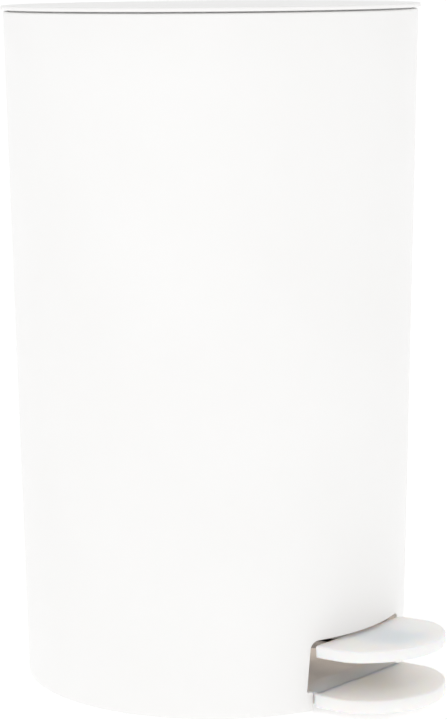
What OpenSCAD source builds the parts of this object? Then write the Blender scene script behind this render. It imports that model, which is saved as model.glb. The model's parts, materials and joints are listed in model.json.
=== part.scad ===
// Pedal trash can: a round tapered bin whose lid is raised by a pedal, a lever and a rod.
// Millimetres. +Z is up, the front with its pedal faces -Y, and the origin is on the floor
// at the centre of the round standing edge.

/* [Body] */
// Outside diameter of the shell at its rim
rim_diameter = 200; // [184:1:250]
// Outside diameter of the shell at the floor
foot_diameter = 188; // [176:1:240]
// Height of the shell from the floor to its rim
shell_height = 326; // [260:1:400]
// Wall of the shell
shell_wall = 2.2; // [1.8:0.1:3]
// Bevel around the standing edge
standing_bevel = 0.6; // [0.3:0.1:0.8]

/* [Pedal opening] */
// How far each side of the opening stands outside the foot plate at the floor
opening_margin = 1.2; // [0.8:0.1:4]
// Gap between the tread's top and the top of the opening
opening_headroom = 1.7; // [1:0.1:5]
// Radius of the opening's upper corners
opening_corner = 4; // [2:0.5:8]
// Lean of the opening's sides, in degrees
opening_draft = 4; // [0:0.5:6]
// How far the tabs that narrow the opening at the floor rise above the foot plate
tab_rise = 0.2; // [0:0.1:2]
// Gap between the foot plate's neck and the tabs
neck_gap = 0.5; // [0.3:0.1:1]

/* [Foot plate and tread] */
// Half the width of the foot plate
foot_plate_half = 34.8; // [28:0.2:38]
// How far the foot plate's nose stands in front of the shell at the floor
foot_plate_projection = 39; // [30:1:50]
// Height of the foot plate's top where it leaves the shell
foot_plate_top = 9.2; // [7:0.1:11]
// Thickness of the foot plate
foot_plate_thick = 6.4; // [4:0.1:8]
// Upward slope of the foot plate, in degrees
foot_plate_slope = 1.6; // [0:0.1:3]
// Half the width of the tread
tread_half = 33.9; // [26:0.1:36]
// How far the tread's nose stands in front of the shell at the floor
tread_projection = 39; // [30:1:50]
// Height of the tread's top where it leaves the shell
tread_top = 32.3; // [28:0.1:40]
// Thickness of the tread
tread_thick = 5.7; // [5:0.1:7]
// Upward slope of the tread at rest, in degrees
tread_slope = 2.8; // [1:0.1:4]
// How much larger the nose radius is than half the width
nose_extra = 1.6; // [0.2:0.1:6]
// How far the rear edges of the foot plate and the tread stand inside the shell's outline
plate_inset = 4; // [2:0.5:8]
// Bevel of the rear corners of the foot plate and the tread
rear_corner = 2; // [1:0.5:5]
// How far each side of the foot plate's neck stands inside the foot plate
neck_inset = 3; // [2:0.5:8]

/* [Base] */
// Thickness of the base plate
base_thick = 2.5; // [2:0.1:4]
// Height of the base plate's underside above the floor
base_lift = 3; // [2.4:0.1:5]
// Diameter of a rubber foot
rubber_diameter = 14; // [10:1:20]
// Distance of the rubber feet from the shell's inner wall
rubber_inset = 19.8; // [14:0.2:36]
// Distance of the base screws from the shell's inner wall
screw_inset = 7.8; // [6:0.2:12]
// Gap between the base plate's rim and the shell
base_gap = 0.4; // [0.2:0.1:0.8]
// Shank diameter of every screw
screw_diameter = 3; // [2.5:0.1:3.5]
// Height of the screw bosses inside the shell
boss_height = 20; // [14:1:26]

/* [Lever and rod] */
// Distance of the lever's axle in front of the bin's axis
pivot_forward = 32.5; // [20:0.5:45]
// Height of the axle above the floor
pivot_height = 18; // [16:0.5:22]
// Diameter of the axle
axle_diameter = 4; // [3:0.1:5]
// Distance of the lift rod from the shell's inner wall
rod_inset = 4.3; // [4.2:0.1:7]
// Diameter of the lift rod
rod_diameter = 4; // [3:0.1:4.5]
// Height of the lever's rear pin at rest
rear_pin_height = 11.3; // [10:0.1:14]
// Diameter of the pins that join the rod to the lever and to the lid
link_pin_diameter = 3.2; // [2.6:0.1:3.6]
// Thickness of the lever's and the lid bracket's side plates
cheek = 2; // [1.5:0.1:2.5]
// Width between the side plates
cheek_space = 10.8; // [9:0.1:14]
// How far the pedal turns, in degrees
pedal_swing = 10; // [6:0.5:10]
// How far the lid opens, in degrees
lid_swing = 75; // [60:1:80]
// Height of the middle of the lower rod guide above the floor
low_guide = 95; // [60:1:140]
// Depth of the middle of the upper rod guide below the rim
high_guide_drop = 102; // [70:1:130]
// Height of a rod guide
guide_height = 12; // [8:1:20]

/* [Lid] */
// How far the lid's edge stands out past the shell
lid_overhang = 1.2; // [0.5:0.1:3]
// Open seam between the shell's rim and the lid
lid_seam = 0.7; // [0.4:0.1:1.5]
// Height of the lid's visible edge
lid_edge = 2; // [1.8:0.1:5]
// Rise of the lid from its edge to its centre
lid_crown = 1; // [0.5:0.1:6]
// Thickness of the lid
lid_thick = 2; // [1.6:0.1:3]
// Depth of the locating ring under the lid
lip_depth = 5.6; // [4:0.1:7]
// Thickness of the locating ring
lip_thick = 1.6; // [1.2:0.1:2.4]
// Gap between the locating ring and the shell
lip_gap = 1.1; // [0.8:0.1:2]

/* [Hinge] */
// Distance of the hinge axis behind the outside of the rim
hinge_reach = 6; // [5.8:0.1:8]
// Distance of the hinge axis below the rim
hinge_drop = 2; // [1.6:0.1:3]
// Diameter of the hinge pin
hinge_pin_diameter = 4; // [3:0.1:4.4]
// Radius of the knuckles around the pin
knuckle_radius = 4; // [3.6:0.1:4.2]
// Width of the lid's knuckle
knuckle_width = 24; // [18:1:28]
// Width of each lug on the shell
lug_width = 5; // [3:0.5:6]

/* [Bucket] */
// Gap between the bucket's top and the sleeve on the lift rod
bucket_rod_gap = 1; // [0.8:0.1:4]
// How much smaller the bucket's radius is at its bottom than at its top
bucket_draft = 8; // [4:0.5:20]
// Wall of the bucket
bucket_wall = 1.6; // [1.2:0.1:2.4]
// Gap between the raised lever and the bucket's bottom
lever_headroom = 12.8; // [4:0.1:30]
// Depth of the bucket's flange below the shell's rim
flange_drop = 19; // [17:0.5:30]
// Thickness of the flange
flange_thick = 3; // [2:0.2:4]
// Gap between the flange and the shell's wall
flange_gap = 3.3; // [2:0.1:4]
// Wire diameter of the handle
wire_diameter = 3; // [2.4:0.1:3.6]
// Diameter of the handle's grip
grip_diameter = 9; // [7:0.5:9.5]
// Angle that the grip covers, in degrees
grip_angle = 42; // [24:1:60]

/* [Fits] */
// Radial clearance of a pin that turns in its hole
running_gap = 0.05; // [0.02:0.01:0.1]
// Radial clearance of a link pin in its slot
slot_gap = 0.45; // [0.4:0.05:0.6]
// Gap between a seated piece and its neighbour
seat_gap = 0.1; // [0.05:0.05:0.2]
// Gap beside a piece that swings between two others
side_gap = 0.5; // [0.3:0.1:1]

/* [Hidden] */
$fn = 96;

white = [0.96, 0.96, 0.95];
pale_grey = [0.74, 0.75, 0.76];
zinc = [0.66, 0.68, 0.70];
steel = [0.78, 0.79, 0.80];
rubber_grey = [0.30, 0.30, 0.31];
nylon = [0.86, 0.86, 0.84];

// Shell
rim_r = rim_diameter / 2;
foot_r = foot_diameter / 2;
taper = (rim_r - foot_r) / shell_height;
function outer_r(z) = foot_r + taper * z;
function inner_r(z) = outer_r(z) - shell_wall;
overcut = 1;
bite = shell_wall / 2;
head_width_ratio = 1.9;
head_height_ratio = 1.2;

// Foot plate, tread and opening: leaning sides and two round corners
foot_plate_reach = foot_r + foot_plate_projection;
tread_reach = foot_r + tread_projection;
opening_half = max(foot_plate_half, tread_half) + opening_margin;
opening_height = tread_top + opening_headroom;
tab_height = foot_plate_top + tab_rise;
corner_bite = 0.1;
opening_centre_z = opening_height - opening_corner;
opening_corner_x = opening_half - opening_centre_z * tan(opening_draft)
                   - opening_corner / cos(opening_draft);
neck_half = foot_plate_half - neck_inset;
neck_length = 13;
neck_step = 0.2;
tab_half = neck_half + neck_gap;

// The straight rear edge of both plates stands in front of the wall beside the opening
plate_wall_gap = 0.5;
opening_half_high = opening_half - tread_top * tan(opening_draft);
function wall_front(x, z) = sqrt(pow(outer_r(z), 2) - pow(x, 2));
plate_rear = max(foot_r - plate_inset,
                 wall_front(tab_half, tab_height) + plate_wall_gap,
                 wall_front(opening_half_high, tread_top) + plate_wall_gap);

// Hinge, lever and rod
hinge_y = rim_r + hinge_reach;
hinge_z = shell_height - hinge_drop;
lug_in = knuckle_width / 2 + side_gap;
lug_height = 30;
lug_rise = 0.4;
lug_low_angle = 60;
cap_depth = 2.2;
cap_wall = 0.6;
cap_step = 0.4;
cap_hole = cap_depth - cap_wall;
pivot_y = -pivot_forward;
rod_back = min(inner_r(0), inner_r(shell_height)) - rod_inset;
rear_arm = rod_back - pivot_y;
arm_drop = atan((pivot_height - rear_pin_height) / rear_arm);
arm_length = rear_arm / cos(arm_drop);
rod_rise = arm_length * (sin(pedal_swing - arm_drop) + sin(arm_drop));
tail_radius = rod_rise / (2 * sin(lid_swing / 2));
tail_pin_y = hinge_y - tail_radius * cos(lid_swing / 2);
tail_pin_z = hinge_z - tail_radius * sin(lid_swing / 2);
cheek_in = cheek_space / 2;
cheek_out = cheek_in + cheek;
link_play = 0.4;
link_width = cheek_space - 2 * (side_gap + link_play);
slot_play = 0.4;
clip_thick = 1.2;
clip_gap = 0.2;
clip_radius_extra = 1.8;
pin_tail = 0.6;
link_pin_half = cheek_out + clip_gap + clip_thick + pin_tail;
hub_wall = 4;
hub_radius = axle_diameter / 2 + hub_wall;
eye_wall = 1.4;
eye_radius = link_pin_diameter / 2 + eye_wall;
post_gap = 1.6;
post_width = 4;
post_in = cheek_out + post_gap;
post_out = post_in + post_width;
axle_half = post_out + clip_gap + clip_thick + pin_tail;
rod_wall = 1.5;
sleeve_r = rod_diameter / 2 + rod_wall;
sleeve_length = 11;
foot_block_step = 0.2;
foot_block_half = eye_radius + foot_block_step;
foot_block_front = 0.6;
foot_slot_gap = 0.3;
rod_seat = 1;
rod_bottom = rear_pin_height + foot_block_half + rod_seat;
slot_front = hinge_y - tail_radius - slot_play;
slot_back = tail_pin_y + slot_play;
slot_r = link_pin_diameter / 2 + slot_gap;
head_wall = 2;
head_cap = 3.3;
head_half_height = slot_r + head_cap;
head_bottom = tail_pin_z - head_half_height;
head_front = min(rod_back - sleeve_r, slot_front - slot_r - head_wall);
head_wall_y = sqrt(pow(inner_r(head_bottom), 2) - pow(link_width / 2, 2));
head_back = min(slot_back + slot_r + head_wall, head_wall_y - side_gap);
rod_end_gap = 0.2;
rod_top = head_bottom - rod_end_gap;

// Lever's front tongue, let into the tread's underside
tongue_half = 10;
tongue_thick = 2.5;
tongue_front = 32;
tongue_back = 4;
pocket_gap = 0.1;
rivet_radius = 2;
rivet_places = [14, 25];
rivet_cover = 1.2;
rivet_top_gap = 0.3;
rivet_head_height = 0.9;
rivet_head_step = 1.4;
lever_front_inset = 2;
lever_front_drop = 0.2;
web_thick = 2;
web_back_gap = 16;
lever_front = [lever_front_inset - plate_rear,
               tread_top - tread_thick + tongue_thick - lever_front_drop];

// Lid
lid_r = rim_r + lid_overhang;
lid_bottom = shell_height + lid_seam;
lid_shoulder = lid_bottom + lid_edge;
function crown_z(r) = lid_shoulder + lid_crown * (1 - pow(r / lid_r, 2));
lip_r = inner_r(shell_height) - lip_gap;
crown_steps = 10;
edge_round = 0.5;
rib_thick = 2;
knuckle_web_inset = 5;
knuckle_web_reach = 0.4;
knuckle_web_drop = 0.1;
knuckle_low_angle = 154;
knuckle_high_angle = 68;
lip_cut_inset = 16;
lip_cut_depth = 12;

// Bracket under the lid
bracket_drop = 3;
bracket_plate_top = lid_bottom - bracket_drop;
bracket_plate_thick = 2;
bracket_plate_bottom = bracket_plate_top - bracket_plate_thick;
bracket_length = 30;
bracket_back_gap = 11;
bracket_front = tail_pin_y - bracket_length;
bracket_plate_back = tail_pin_y - bracket_back_gap;
bracket_screw_step = 0.3;
bracket_screw_r = screw_diameter / 2 - bracket_screw_step;
bracket_head_r = head_width_ratio * bracket_screw_r;
bracket_screw_bite = 3;
bracket_boss_r = 3.4;
bracket_screw_x = cheek_out + bracket_head_r + side_gap;
bracket_screw_y = (bracket_front + bracket_plate_back) / 2;
bracket_half = bracket_screw_x + bracket_boss_r;
bracket_eye_wall = 2.4;
bracket_eye = link_pin_diameter / 2 + bracket_eye_wall;
bracket_eye_angle = 250;
bracket_side_step = 2;
lip_cut_margin = 2;
lip_cut_half = bracket_half + lip_cut_margin;

// Rod guides and the rails that hold them
guide_half = 7;
guide_wall = 1.6;
guide_inner = rod_back - rod_diameter / 2 - guide_wall;
guide_levels = [low_guide, shell_height - high_guide_drop];
rail_thick = 2;
rail_depth = 5;

// Bucket and handle
flange_top = shell_height - flange_drop;
flange_z = flange_top - flange_thick;
flange_r = inner_r(flange_z) - flange_gap;
bucket_floor = rear_pin_height + rod_rise + eye_radius + lever_headroom;
bucket_top_r = rod_back - sleeve_r - bucket_rod_gap;
bucket_bottom_r = bucket_top_r - bucket_draft;
bucket_taper = (bucket_top_r - bucket_bottom_r) / (flange_z - bucket_floor);
flange_notch_half = bracket_half;
notch_step = 0.2;
floor_extra = 0.4;
mouth_step = 0.4;
wire_r = wire_diameter / 2;
bail_inset = 4.5;
ear_thick = 3;
ear_radius = 5;
ear_rise = 5;
ear_root = 1;
hook_length = 2;
handle_z = flange_top + ear_rise;
bail_r = flange_r - bail_inset;
ear_out = bail_r - wire_r - side_gap;
ear_in = ear_out - ear_thick;
support_angles = [0, 60, 120, 180, 240, 300];
support_reach = 3.5;
support_inner = flange_r - support_reach;
support_drop = 55;

// Base
base_top = base_lift + base_thick;
base_r = inner_r(base_lift) - base_gap;
screw_circle = inner_r(0) - screw_inset;
rubber_circle = inner_r(0) - rubber_inset;
boss_angles = [30, 150, 210, 330];
rubber_angles = [45, 135, 225, 315];
boss_r = 4;
pilot_depth = 12.2;
rubber_let_in = 1;
rubber_bevel = 0.6;
screw_bite = 11;

// ---------- helpers ----------

// Turns an outline drawn in (y, z) into a plate across X, from x0 to x1
module across(x0, x1) {
    translate([x0, 0, 0])
        rotate([90, 0, 90])
            linear_extrude(x1 - x0)
                children();
}

// A straight pin or bore along X, centred on x = 0
module pin_along_x(radius, half_length, y, z) {
    translate([-half_length, y, z])
        rotate([0, 90, 0])
            cylinder(r = radius, h = 2 * half_length);
}

// Mirrors a right-hand piece to both sides
module both_sides() {
    children();
    mirror([1, 0, 0]) children();
}

// A push-on washer on a pin of the given radius
module push_on_clip(pin_radius, x, y, z) {
    translate([x, y, z])
        rotate([0, 90, 0])
            difference() {
                cylinder(r = pin_radius + clip_radius_extra, h = clip_thick);
                translate([0, 0, -overcut])
                    cylinder(r = pin_radius + running_gap / 2, h = clip_thick + 2 * overcut);
            }
}

// A screw with its head down: the head bears at z = 0 and the shank points up
module pan_screw(shank_r, length) {
    head_height = head_height_ratio * shank_r;
    translate([0, 0, -head_height])
        cylinder(r = head_width_ratio * shank_r, h = head_height);
    cylinder(r = shank_r, h = length);
}

// Outline shared by the foot plate and the tread: a straight rear edge at y = 0 with
// bevelled corners, straight sides, and a round nose that reaches y = -depth
module nose_outline(half, depth) {
    nose_r = half + nose_extra;
    intersection() {
        translate([0, nose_r - depth])
            circle(r = nose_r);
        polygon([[-half, -depth - overcut], [half, -depth - overcut],
                 [half, -rear_corner], [half - rear_corner, 0],
                 [rear_corner - half, 0], [-half, -rear_corner]]);
    }
}

// Frame of the tread: origin on its top face at the rear edge, sloping up to the front
module tread_frame() {
    translate([0, -plate_rear, tread_top])
        rotate([-tread_slope, 0, 0])
            children();
}

// ---------- housing ----------

module shell_skin() {
    top = shell_height - shell_wall / 2;
    rotate_extrude() {
        polygon([[inner_r(0), 0],
                 [outer_r(0) - standing_bevel, 0],
                 [outer_r(standing_bevel), standing_bevel],
                 [outer_r(top), top],
                 [inner_r(top), top]]);
        translate([outer_r(top) - shell_wall / 2, top])
            circle(r = shell_wall / 2, $fn = 24);
    }
}

// Carries an outline drawn in (x, z) through the front wall
module through_front() {
    translate([0, -rim_r / 2, 0])
        rotate([90, 0, 0])
            linear_extrude(rim_r)
                children();
}

// The sides and the top cross the corner circles a little inside their edges
module opening_sides() {
    reach = opening_corner - corner_bite;
    side_x = opening_corner_x + reach * cos(opening_draft);
    side_z = opening_centre_z + reach * sin(opening_draft);
    low_x = side_x + (side_z - tab_height) * tan(opening_draft);
    polygon([[-low_x, tab_height], [low_x, tab_height], [side_x, side_z],
             [opening_corner_x, opening_centre_z + reach],
             [-opening_corner_x, opening_centre_z + reach], [-side_x, side_z]]);
}

// Gusset that carries the bucket's flange
module bucket_support(angle) {
    low_z = flange_z - support_drop;
    rotate([0, 0, angle])
        translate([0, rib_thick / 2, 0])
            rotate([90, 0, 0])
                linear_extrude(rib_thick)
                    polygon([[support_inner, flange_z],
                             [inner_r(flange_z) + bite, flange_z],
                             [inner_r(low_z) + bite, low_z]]);
}

module screw_boss(angle) {
    rotate([0, 0, angle]) {
        translate([screw_circle, 0, base_top])
            cylinder(r = boss_r, h = boss_height);
        translate([screw_circle, -rib_thick / 2, base_top])
            cube([inner_r(base_top) + bite - screw_circle, rib_thick, boss_height]);
    }
}

module guide_rail(level) {
    z0 = level - guide_height / 2;
    wall_y = sqrt(pow(inner_r(z0), 2) - pow(guide_half + seat_gap + rail_thick, 2));
    translate([guide_half + seat_gap, wall_y - rail_depth, z0])
        cube([rail_thick, rail_depth + bite, guide_height]);
}

module hinge_lug() {
    tangent = knuckle_radius * sin(45);
    lug_foot = hinge_z - lug_height;
    across(lug_in, lug_in + lug_width) {
        translate([hinge_y, hinge_z]) circle(r = knuckle_radius);
        polygon([[outer_r(lug_foot) - bite, lug_foot],
                 [outer_r(hinge_z) - bite, hinge_z + lug_rise],
                 [hinge_y - tangent, hinge_z + tangent],
                 [hinge_y, hinge_z],
                 [hinge_y + knuckle_radius * cos(lug_low_angle),
                  hinge_z - knuckle_radius * sin(lug_low_angle)]]);
    }
}

module outer_shell() {
    color(white)
        difference() {
            union() {
                shell_skin();
                for (angle = support_angles) bucket_support(angle);
                for (angle = boss_angles) screw_boss(angle);
                for (level = guide_levels) both_sides() guide_rail(level);
                both_sides() hinge_lug();
            }
            through_front()
                opening_sides();
            through_front()
                translate([-tab_half, -overcut])
                    square([2 * tab_half, tab_height + 2 * overcut]);
            for (side = [-1, 1])
                through_front()
                    translate([side * opening_corner_x, opening_centre_z])
                        circle(r = opening_corner);
            pin_along_x(hinge_pin_diameter / 2 + running_gap, knuckle_width, hinge_y, hinge_z);
            for (angle = boss_angles)
                rotate([0, 0, angle])
                    translate([screw_circle, 0, 0])
                        cylinder(r = screw_diameter / 2, h = base_top + pilot_depth);
        }
}

module axle_post() {
    across(post_in, post_out) {
        translate([pivot_y, pivot_height]) circle(r = hub_radius);
        translate([pivot_y - hub_radius, base_top - base_thick / 2])
            square([2 * hub_radius, pivot_height - base_top + base_thick / 2]);
    }
}

module foot_plate() {
    translate([0, -plate_rear, foot_plate_top])
        rotate([-foot_plate_slope, 0, 0])
            translate([0, 0, -foot_plate_thick])
                linear_extrude(foot_plate_thick)
                    nose_outline(foot_plate_half, foot_plate_reach - plate_rear);
    neck_z = base_lift + neck_step;
    translate([-neck_half, -plate_rear - overcut, neck_z])
        cube([2 * neck_half, neck_length + overcut, foot_plate_top - neck_step - neck_z]);
}

module base_plate() {
    color(white)
        difference() {
            union() {
                translate([0, 0, base_lift])
                    cylinder(r = base_r, h = base_thick);
                foot_plate();
                both_sides() axle_post();
            }
            pin_along_x(axle_diameter / 2 + running_gap, post_out + overcut, pivot_y, pivot_height);
            for (angle = boss_angles)
                rotate([0, 0, angle])
                    translate([screw_circle, 0, 0])
                        cylinder(r = screw_diameter / 2 + seat_gap, h = base_top + overcut);
            for (angle = rubber_angles)
                rotate([0, 0, angle])
                    translate([rubber_circle, 0, 0])
                        cylinder(r = rubber_diameter / 2 + seat_gap, h = base_lift + rubber_let_in);
        }
}

module base_screws() {
    color(steel)
        for (angle = boss_angles)
            rotate([0, 0, angle])
                translate([screw_circle, 0, base_lift])
                    pan_screw(screw_diameter / 2, base_thick + screw_bite);
}

module rubber_feet() {
    color(rubber_grey)
        for (angle = rubber_angles)
            rotate([0, 0, angle])
                translate([rubber_circle, 0, 0]) {
                    cylinder(r1 = rubber_diameter / 2 - rubber_bevel, r2 = rubber_diameter / 2,
                             h = rubber_bevel);
                    translate([0, 0, rubber_bevel])
                        cylinder(r = rubber_diameter / 2,
                                 h = base_lift + rubber_let_in - rubber_bevel);
                }
}

module pedal_axle() {
    color(steel)
        pin_along_x(axle_diameter / 2, axle_half, pivot_y, pivot_height);
}

module axle_clips() {
    color(zinc)
        both_sides()
            push_on_clip(axle_diameter / 2, post_out + clip_gap, pivot_y, pivot_height);
}

module rod_guide(level) {
    z0 = level - guide_height / 2;
    difference() {
        intersection() {
            translate([-guide_half, guide_inner, z0])
                cube([2 * guide_half, rim_r, guide_height]);
            translate([0, 0, z0])
                cylinder(r1 = inner_r(z0) - seat_gap, r2 = inner_r(z0 + guide_height) - seat_gap,
                         h = guide_height);
        }
        translate([0, rod_back, z0 - overcut])
            cylinder(r = rod_diameter / 2 + running_gap, h = guide_height + 2 * overcut);
    }
}

module rod_guides() {
    color(nylon)
        for (level = guide_levels) rod_guide(level);
}

module hinge_pin() {
    color(steel)
        pin_along_x(hinge_pin_diameter / 2, lug_in + lug_width + cap_hole, hinge_y, hinge_z);
}

module hinge_pin_caps() {
    color(white)
        both_sides()
            translate([lug_in + lug_width + seat_gap, hinge_y, hinge_z])
                rotate([0, 90, 0])
                    difference() {
                        cylinder(r = knuckle_radius - cap_step, h = cap_depth);
                        translate([0, 0, -overcut])
                            cylinder(r = hinge_pin_diameter / 2 + running_gap / 2,
                                     h = overcut + cap_hole);
                    }
}

// ---------- lid ----------

module lid_disc() {
    top_edge = lid_r - edge_round;
    rotate_extrude()
        polygon(concat(
            [[0, crown_z(0) - lid_thick]],
            [[lip_r - lip_thick, crown_z(lip_r) - lid_thick]],
            [[lip_r - lip_thick, lid_bottom - lip_depth]],
            [[lip_r, lid_bottom - lip_depth]],
            [[lip_r, lid_bottom]],
            [[lid_r - edge_round, lid_bottom]],
            [[lid_r, lid_bottom + edge_round]],
            [[lid_r, lid_shoulder - edge_round]],
            [for (step = [0:crown_steps]) let (r = top_edge * (1 - step / crown_steps))
                [r, crown_z(r)]]));
}

module lid_knuckle() {
    half = knuckle_width / 2;
    low = knuckle_radius * [cos(knuckle_low_angle), sin(knuckle_low_angle)];
    high = knuckle_radius * [cos(knuckle_high_angle), sin(knuckle_high_angle)];
    web_top = lid_shoulder - knuckle_web_drop;
    across(-half, half) {
        translate([hinge_y, hinge_z]) circle(r = knuckle_radius);
        polygon([[lid_r - knuckle_web_inset, lid_bottom],
                 [lid_r + knuckle_web_reach, lid_bottom],
                 [hinge_y + low[0], hinge_z + low[1]], [hinge_y, hinge_z],
                 [hinge_y + high[0], hinge_z + high[1]],
                 [lid_r - knuckle_web_reach, web_top],
                 [lid_r - knuckle_web_inset, web_top]]);
    }
}

module bracket_boss() {
    translate([bracket_screw_x, bracket_screw_y, bracket_plate_top])
        cylinder(r = bracket_boss_r, h = lid_shoulder - lid_thick / 2 - bracket_plate_top);
}

module lid() {
    color(white)
        difference() {
            union() {
                difference() {
                    lid_disc();
                    translate([-lip_cut_half, lid_r - lip_cut_inset,
                               lid_bottom - lip_depth - overcut])
                        cube([2 * lip_cut_half, lip_cut_depth, lip_depth + overcut]);
                }
                lid_knuckle();
                both_sides() bracket_boss();
            }
            pin_along_x(hinge_pin_diameter / 2 + running_gap, knuckle_width, hinge_y, hinge_z);
            both_sides()
                translate([bracket_screw_x, bracket_screw_y, bracket_plate_top - overcut])
                    cylinder(r = bracket_screw_r, h = bracket_screw_bite + seat_gap + overcut);
        }
}

module bracket_side() {
    eye_low = bracket_eye * [cos(bracket_eye_angle), sin(bracket_eye_angle)];
    across(cheek_in, cheek_out) {
        translate([tail_pin_y, tail_pin_z]) circle(r = bracket_eye);
        polygon([[bracket_front, bracket_plate_bottom],
                 [tail_pin_y + eye_low[0], tail_pin_z + eye_low[1]],
                 [tail_pin_y + bracket_eye, tail_pin_z],
                 [tail_pin_y + bracket_eye - bracket_side_step, bracket_plate_top],
                 [bracket_front, bracket_plate_top]]);
    }
}

module lid_bracket() {
    color(zinc)
        difference() {
            union() {
                both_sides() bracket_side();
                translate([-bracket_half, bracket_front, bracket_plate_bottom])
                    cube([2 * bracket_half, bracket_plate_back - bracket_front, bracket_plate_thick]);
            }
            pin_along_x(link_pin_diameter / 2 + running_gap, cheek_out + overcut,
                        tail_pin_y, tail_pin_z);
            both_sides()
                translate([bracket_screw_x, bracket_screw_y, bracket_plate_bottom - overcut])
                    cylinder(r = bracket_screw_r + seat_gap, h = bracket_plate_thick + 2 * overcut);
        }
}

module bracket_screws() {
    color(steel)
        both_sides()
            translate([bracket_screw_x, bracket_screw_y, bracket_plate_bottom])
                pan_screw(bracket_screw_r, bracket_plate_thick + bracket_screw_bite);
}

module bracket_pin() {
    color(steel)
        pin_along_x(link_pin_diameter / 2, link_pin_half, tail_pin_y, tail_pin_z);
}

module bracket_pin_clips() {
    color(zinc)
        both_sides()
            push_on_clip(link_pin_diameter / 2, cheek_out + clip_gap, tail_pin_y, tail_pin_z);
}

// ---------- pedal ----------

module rivet_holes(radius) {
    for (place = rivet_places)
        translate([0, -place, -tread_thick - overcut])
            cylinder(r = radius, h = tread_thick + overcut - rivet_cover);
}

module pedal_tread() {
    color(white)
        tread_frame()
            difference() {
                translate([0, 0, -tread_thick])
                    linear_extrude(tread_thick)
                        nose_outline(tread_half, tread_reach - plate_rear);
                translate([-tongue_half - pocket_gap, -tongue_front - pocket_gap,
                           -tread_thick - overcut])
                    cube([2 * (tongue_half + pocket_gap), tongue_front + pocket_gap + overcut,
                          tongue_thick + overcut]);
                rivet_holes(rivet_radius);
            }
}

module lever_side() {
    across(cheek_in, cheek_out) {
        translate([pivot_y, pivot_height]) circle(r = hub_radius);
        translate([rod_back, rear_pin_height]) circle(r = eye_radius);
        polygon([lever_front - [0, tongue_thick],
                 [pivot_y, pivot_height - hub_radius],
                 [rod_back, rear_pin_height - eye_radius],
                 [rod_back, rear_pin_height + eye_radius],
                 [pivot_y, pivot_height + hub_radius],
                 lever_front]);
    }
}

// Web between the side plates, along their upper edges
module lever_web() {
    slope = (pivot_height + hub_radius - rear_pin_height - eye_radius) / rear_arm;
    middle = [pivot_y, pivot_height + hub_radius];
    back = [rod_back - web_back_gap, rear_pin_height + eye_radius + web_back_gap * slope];
    across(-cheek_out, cheek_out)
        polygon([lever_front, middle, back, back - [0, web_thick], middle - [0, web_thick],
                 lever_front - [0, web_thick]]);
}

module lever_arm() {
    color(zinc)
        difference() {
            union() {
                tread_frame()
                    translate([-tongue_half, -tongue_front, -tread_thick])
                        cube([2 * tongue_half, tongue_front + tongue_back, tongue_thick - pocket_gap]);
                both_sides() lever_side();
                lever_web();
            }
            pin_along_x(axle_diameter / 2 + running_gap, cheek_out + overcut, pivot_y, pivot_height);
            pin_along_x(link_pin_diameter / 2 + running_gap, cheek_out + overcut,
                        rod_back, rear_pin_height);
            tread_frame() rivet_holes(rivet_radius);
        }
}

module tread_rivets() {
    color(steel)
        tread_frame()
            for (place = rivet_places)
                translate([0, -place, -tread_thick - rivet_head_height]) {
                    cylinder(r = rivet_radius - seat_gap / 2,
                             h = rivet_head_height + tread_thick - rivet_cover - rivet_top_gap);
                    cylinder(r = rivet_radius + rivet_head_step, h = rivet_head_height);
                }
}

module lever_pin() {
    color(steel)
        pin_along_x(link_pin_diameter / 2, link_pin_half, rod_back, rear_pin_height);
}

module lever_pin_clips() {
    color(zinc)
        both_sides()
            push_on_clip(link_pin_diameter / 2, cheek_out + clip_gap, rod_back, rear_pin_height);
}

// ---------- rod ----------

module slot_outline(y0, y1, z, radius) {
    translate([y0, z]) circle(r = radius);
    translate([y1, z]) circle(r = radius);
    translate([y0, z - radius]) square([y1 - y0, 2 * radius]);
}

module lift_rod() {
    color(steel)
        translate([0, rod_back, rod_bottom])
            cylinder(r = rod_diameter / 2, h = rod_top - rod_bottom);
}

module rod_head() {
    half = link_width / 2;
    color(nylon)
        difference() {
            union() {
                translate([-half, head_front, head_bottom])
                    cube([link_width, head_back - head_front, 2 * head_half_height]);
                translate([0, rod_back, head_bottom - sleeve_length])
                    cylinder(r = sleeve_r, h = sleeve_length + rod_seat);
            }
            across(-half - overcut, half + overcut)
                slot_outline(slot_front, slot_back, tail_pin_z, slot_r);
            translate([0, rod_back, head_bottom - sleeve_length - overcut])
                cylinder(r = rod_diameter / 2 + running_gap / 2, h = sleeve_length + overcut);
        }
}

module rod_foot() {
    half = link_width / 2;
    play = arm_length - rear_arm + foot_slot_gap;
    arc_back = arm_length * (1 - cos(pedal_swing - arm_drop));
    color(nylon)
        difference() {
            union() {
                translate([-half, rod_back - foot_block_half - foot_block_front,
                           rear_pin_height - foot_block_half])
                    cube([link_width, 2 * foot_block_half + foot_block_front,
                          2 * foot_block_half + rod_seat]);
                translate([0, rod_back, rod_bottom - rod_seat])
                    cylinder(r = sleeve_r, h = sleeve_length + rod_seat);
            }
            across(-half - overcut, half + overcut)
                slot_outline(rod_back - arc_back, rod_back + play, rear_pin_height,
                             link_pin_diameter / 2 + foot_slot_gap);
            translate([0, rod_back, rod_bottom])
                cylinder(r = rod_diameter / 2 + running_gap / 2, h = sleeve_length + overcut);
        }
}

// ---------- bucket ----------

module bucket_skin() {
    inner_floor = bucket_floor + bucket_wall + floor_extra;
    rotate_extrude()
        polygon([[0, bucket_floor], [bucket_bottom_r, bucket_floor],
                 [bucket_top_r, flange_z], [flange_r, flange_z], [flange_r, flange_top],
                 [bucket_top_r - bucket_wall + mouth_step, flange_top],
                 [bucket_bottom_r - bucket_wall + bucket_taper * (inner_floor - bucket_floor),
                  inner_floor],
                 [0, inner_floor]]);
}

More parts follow.
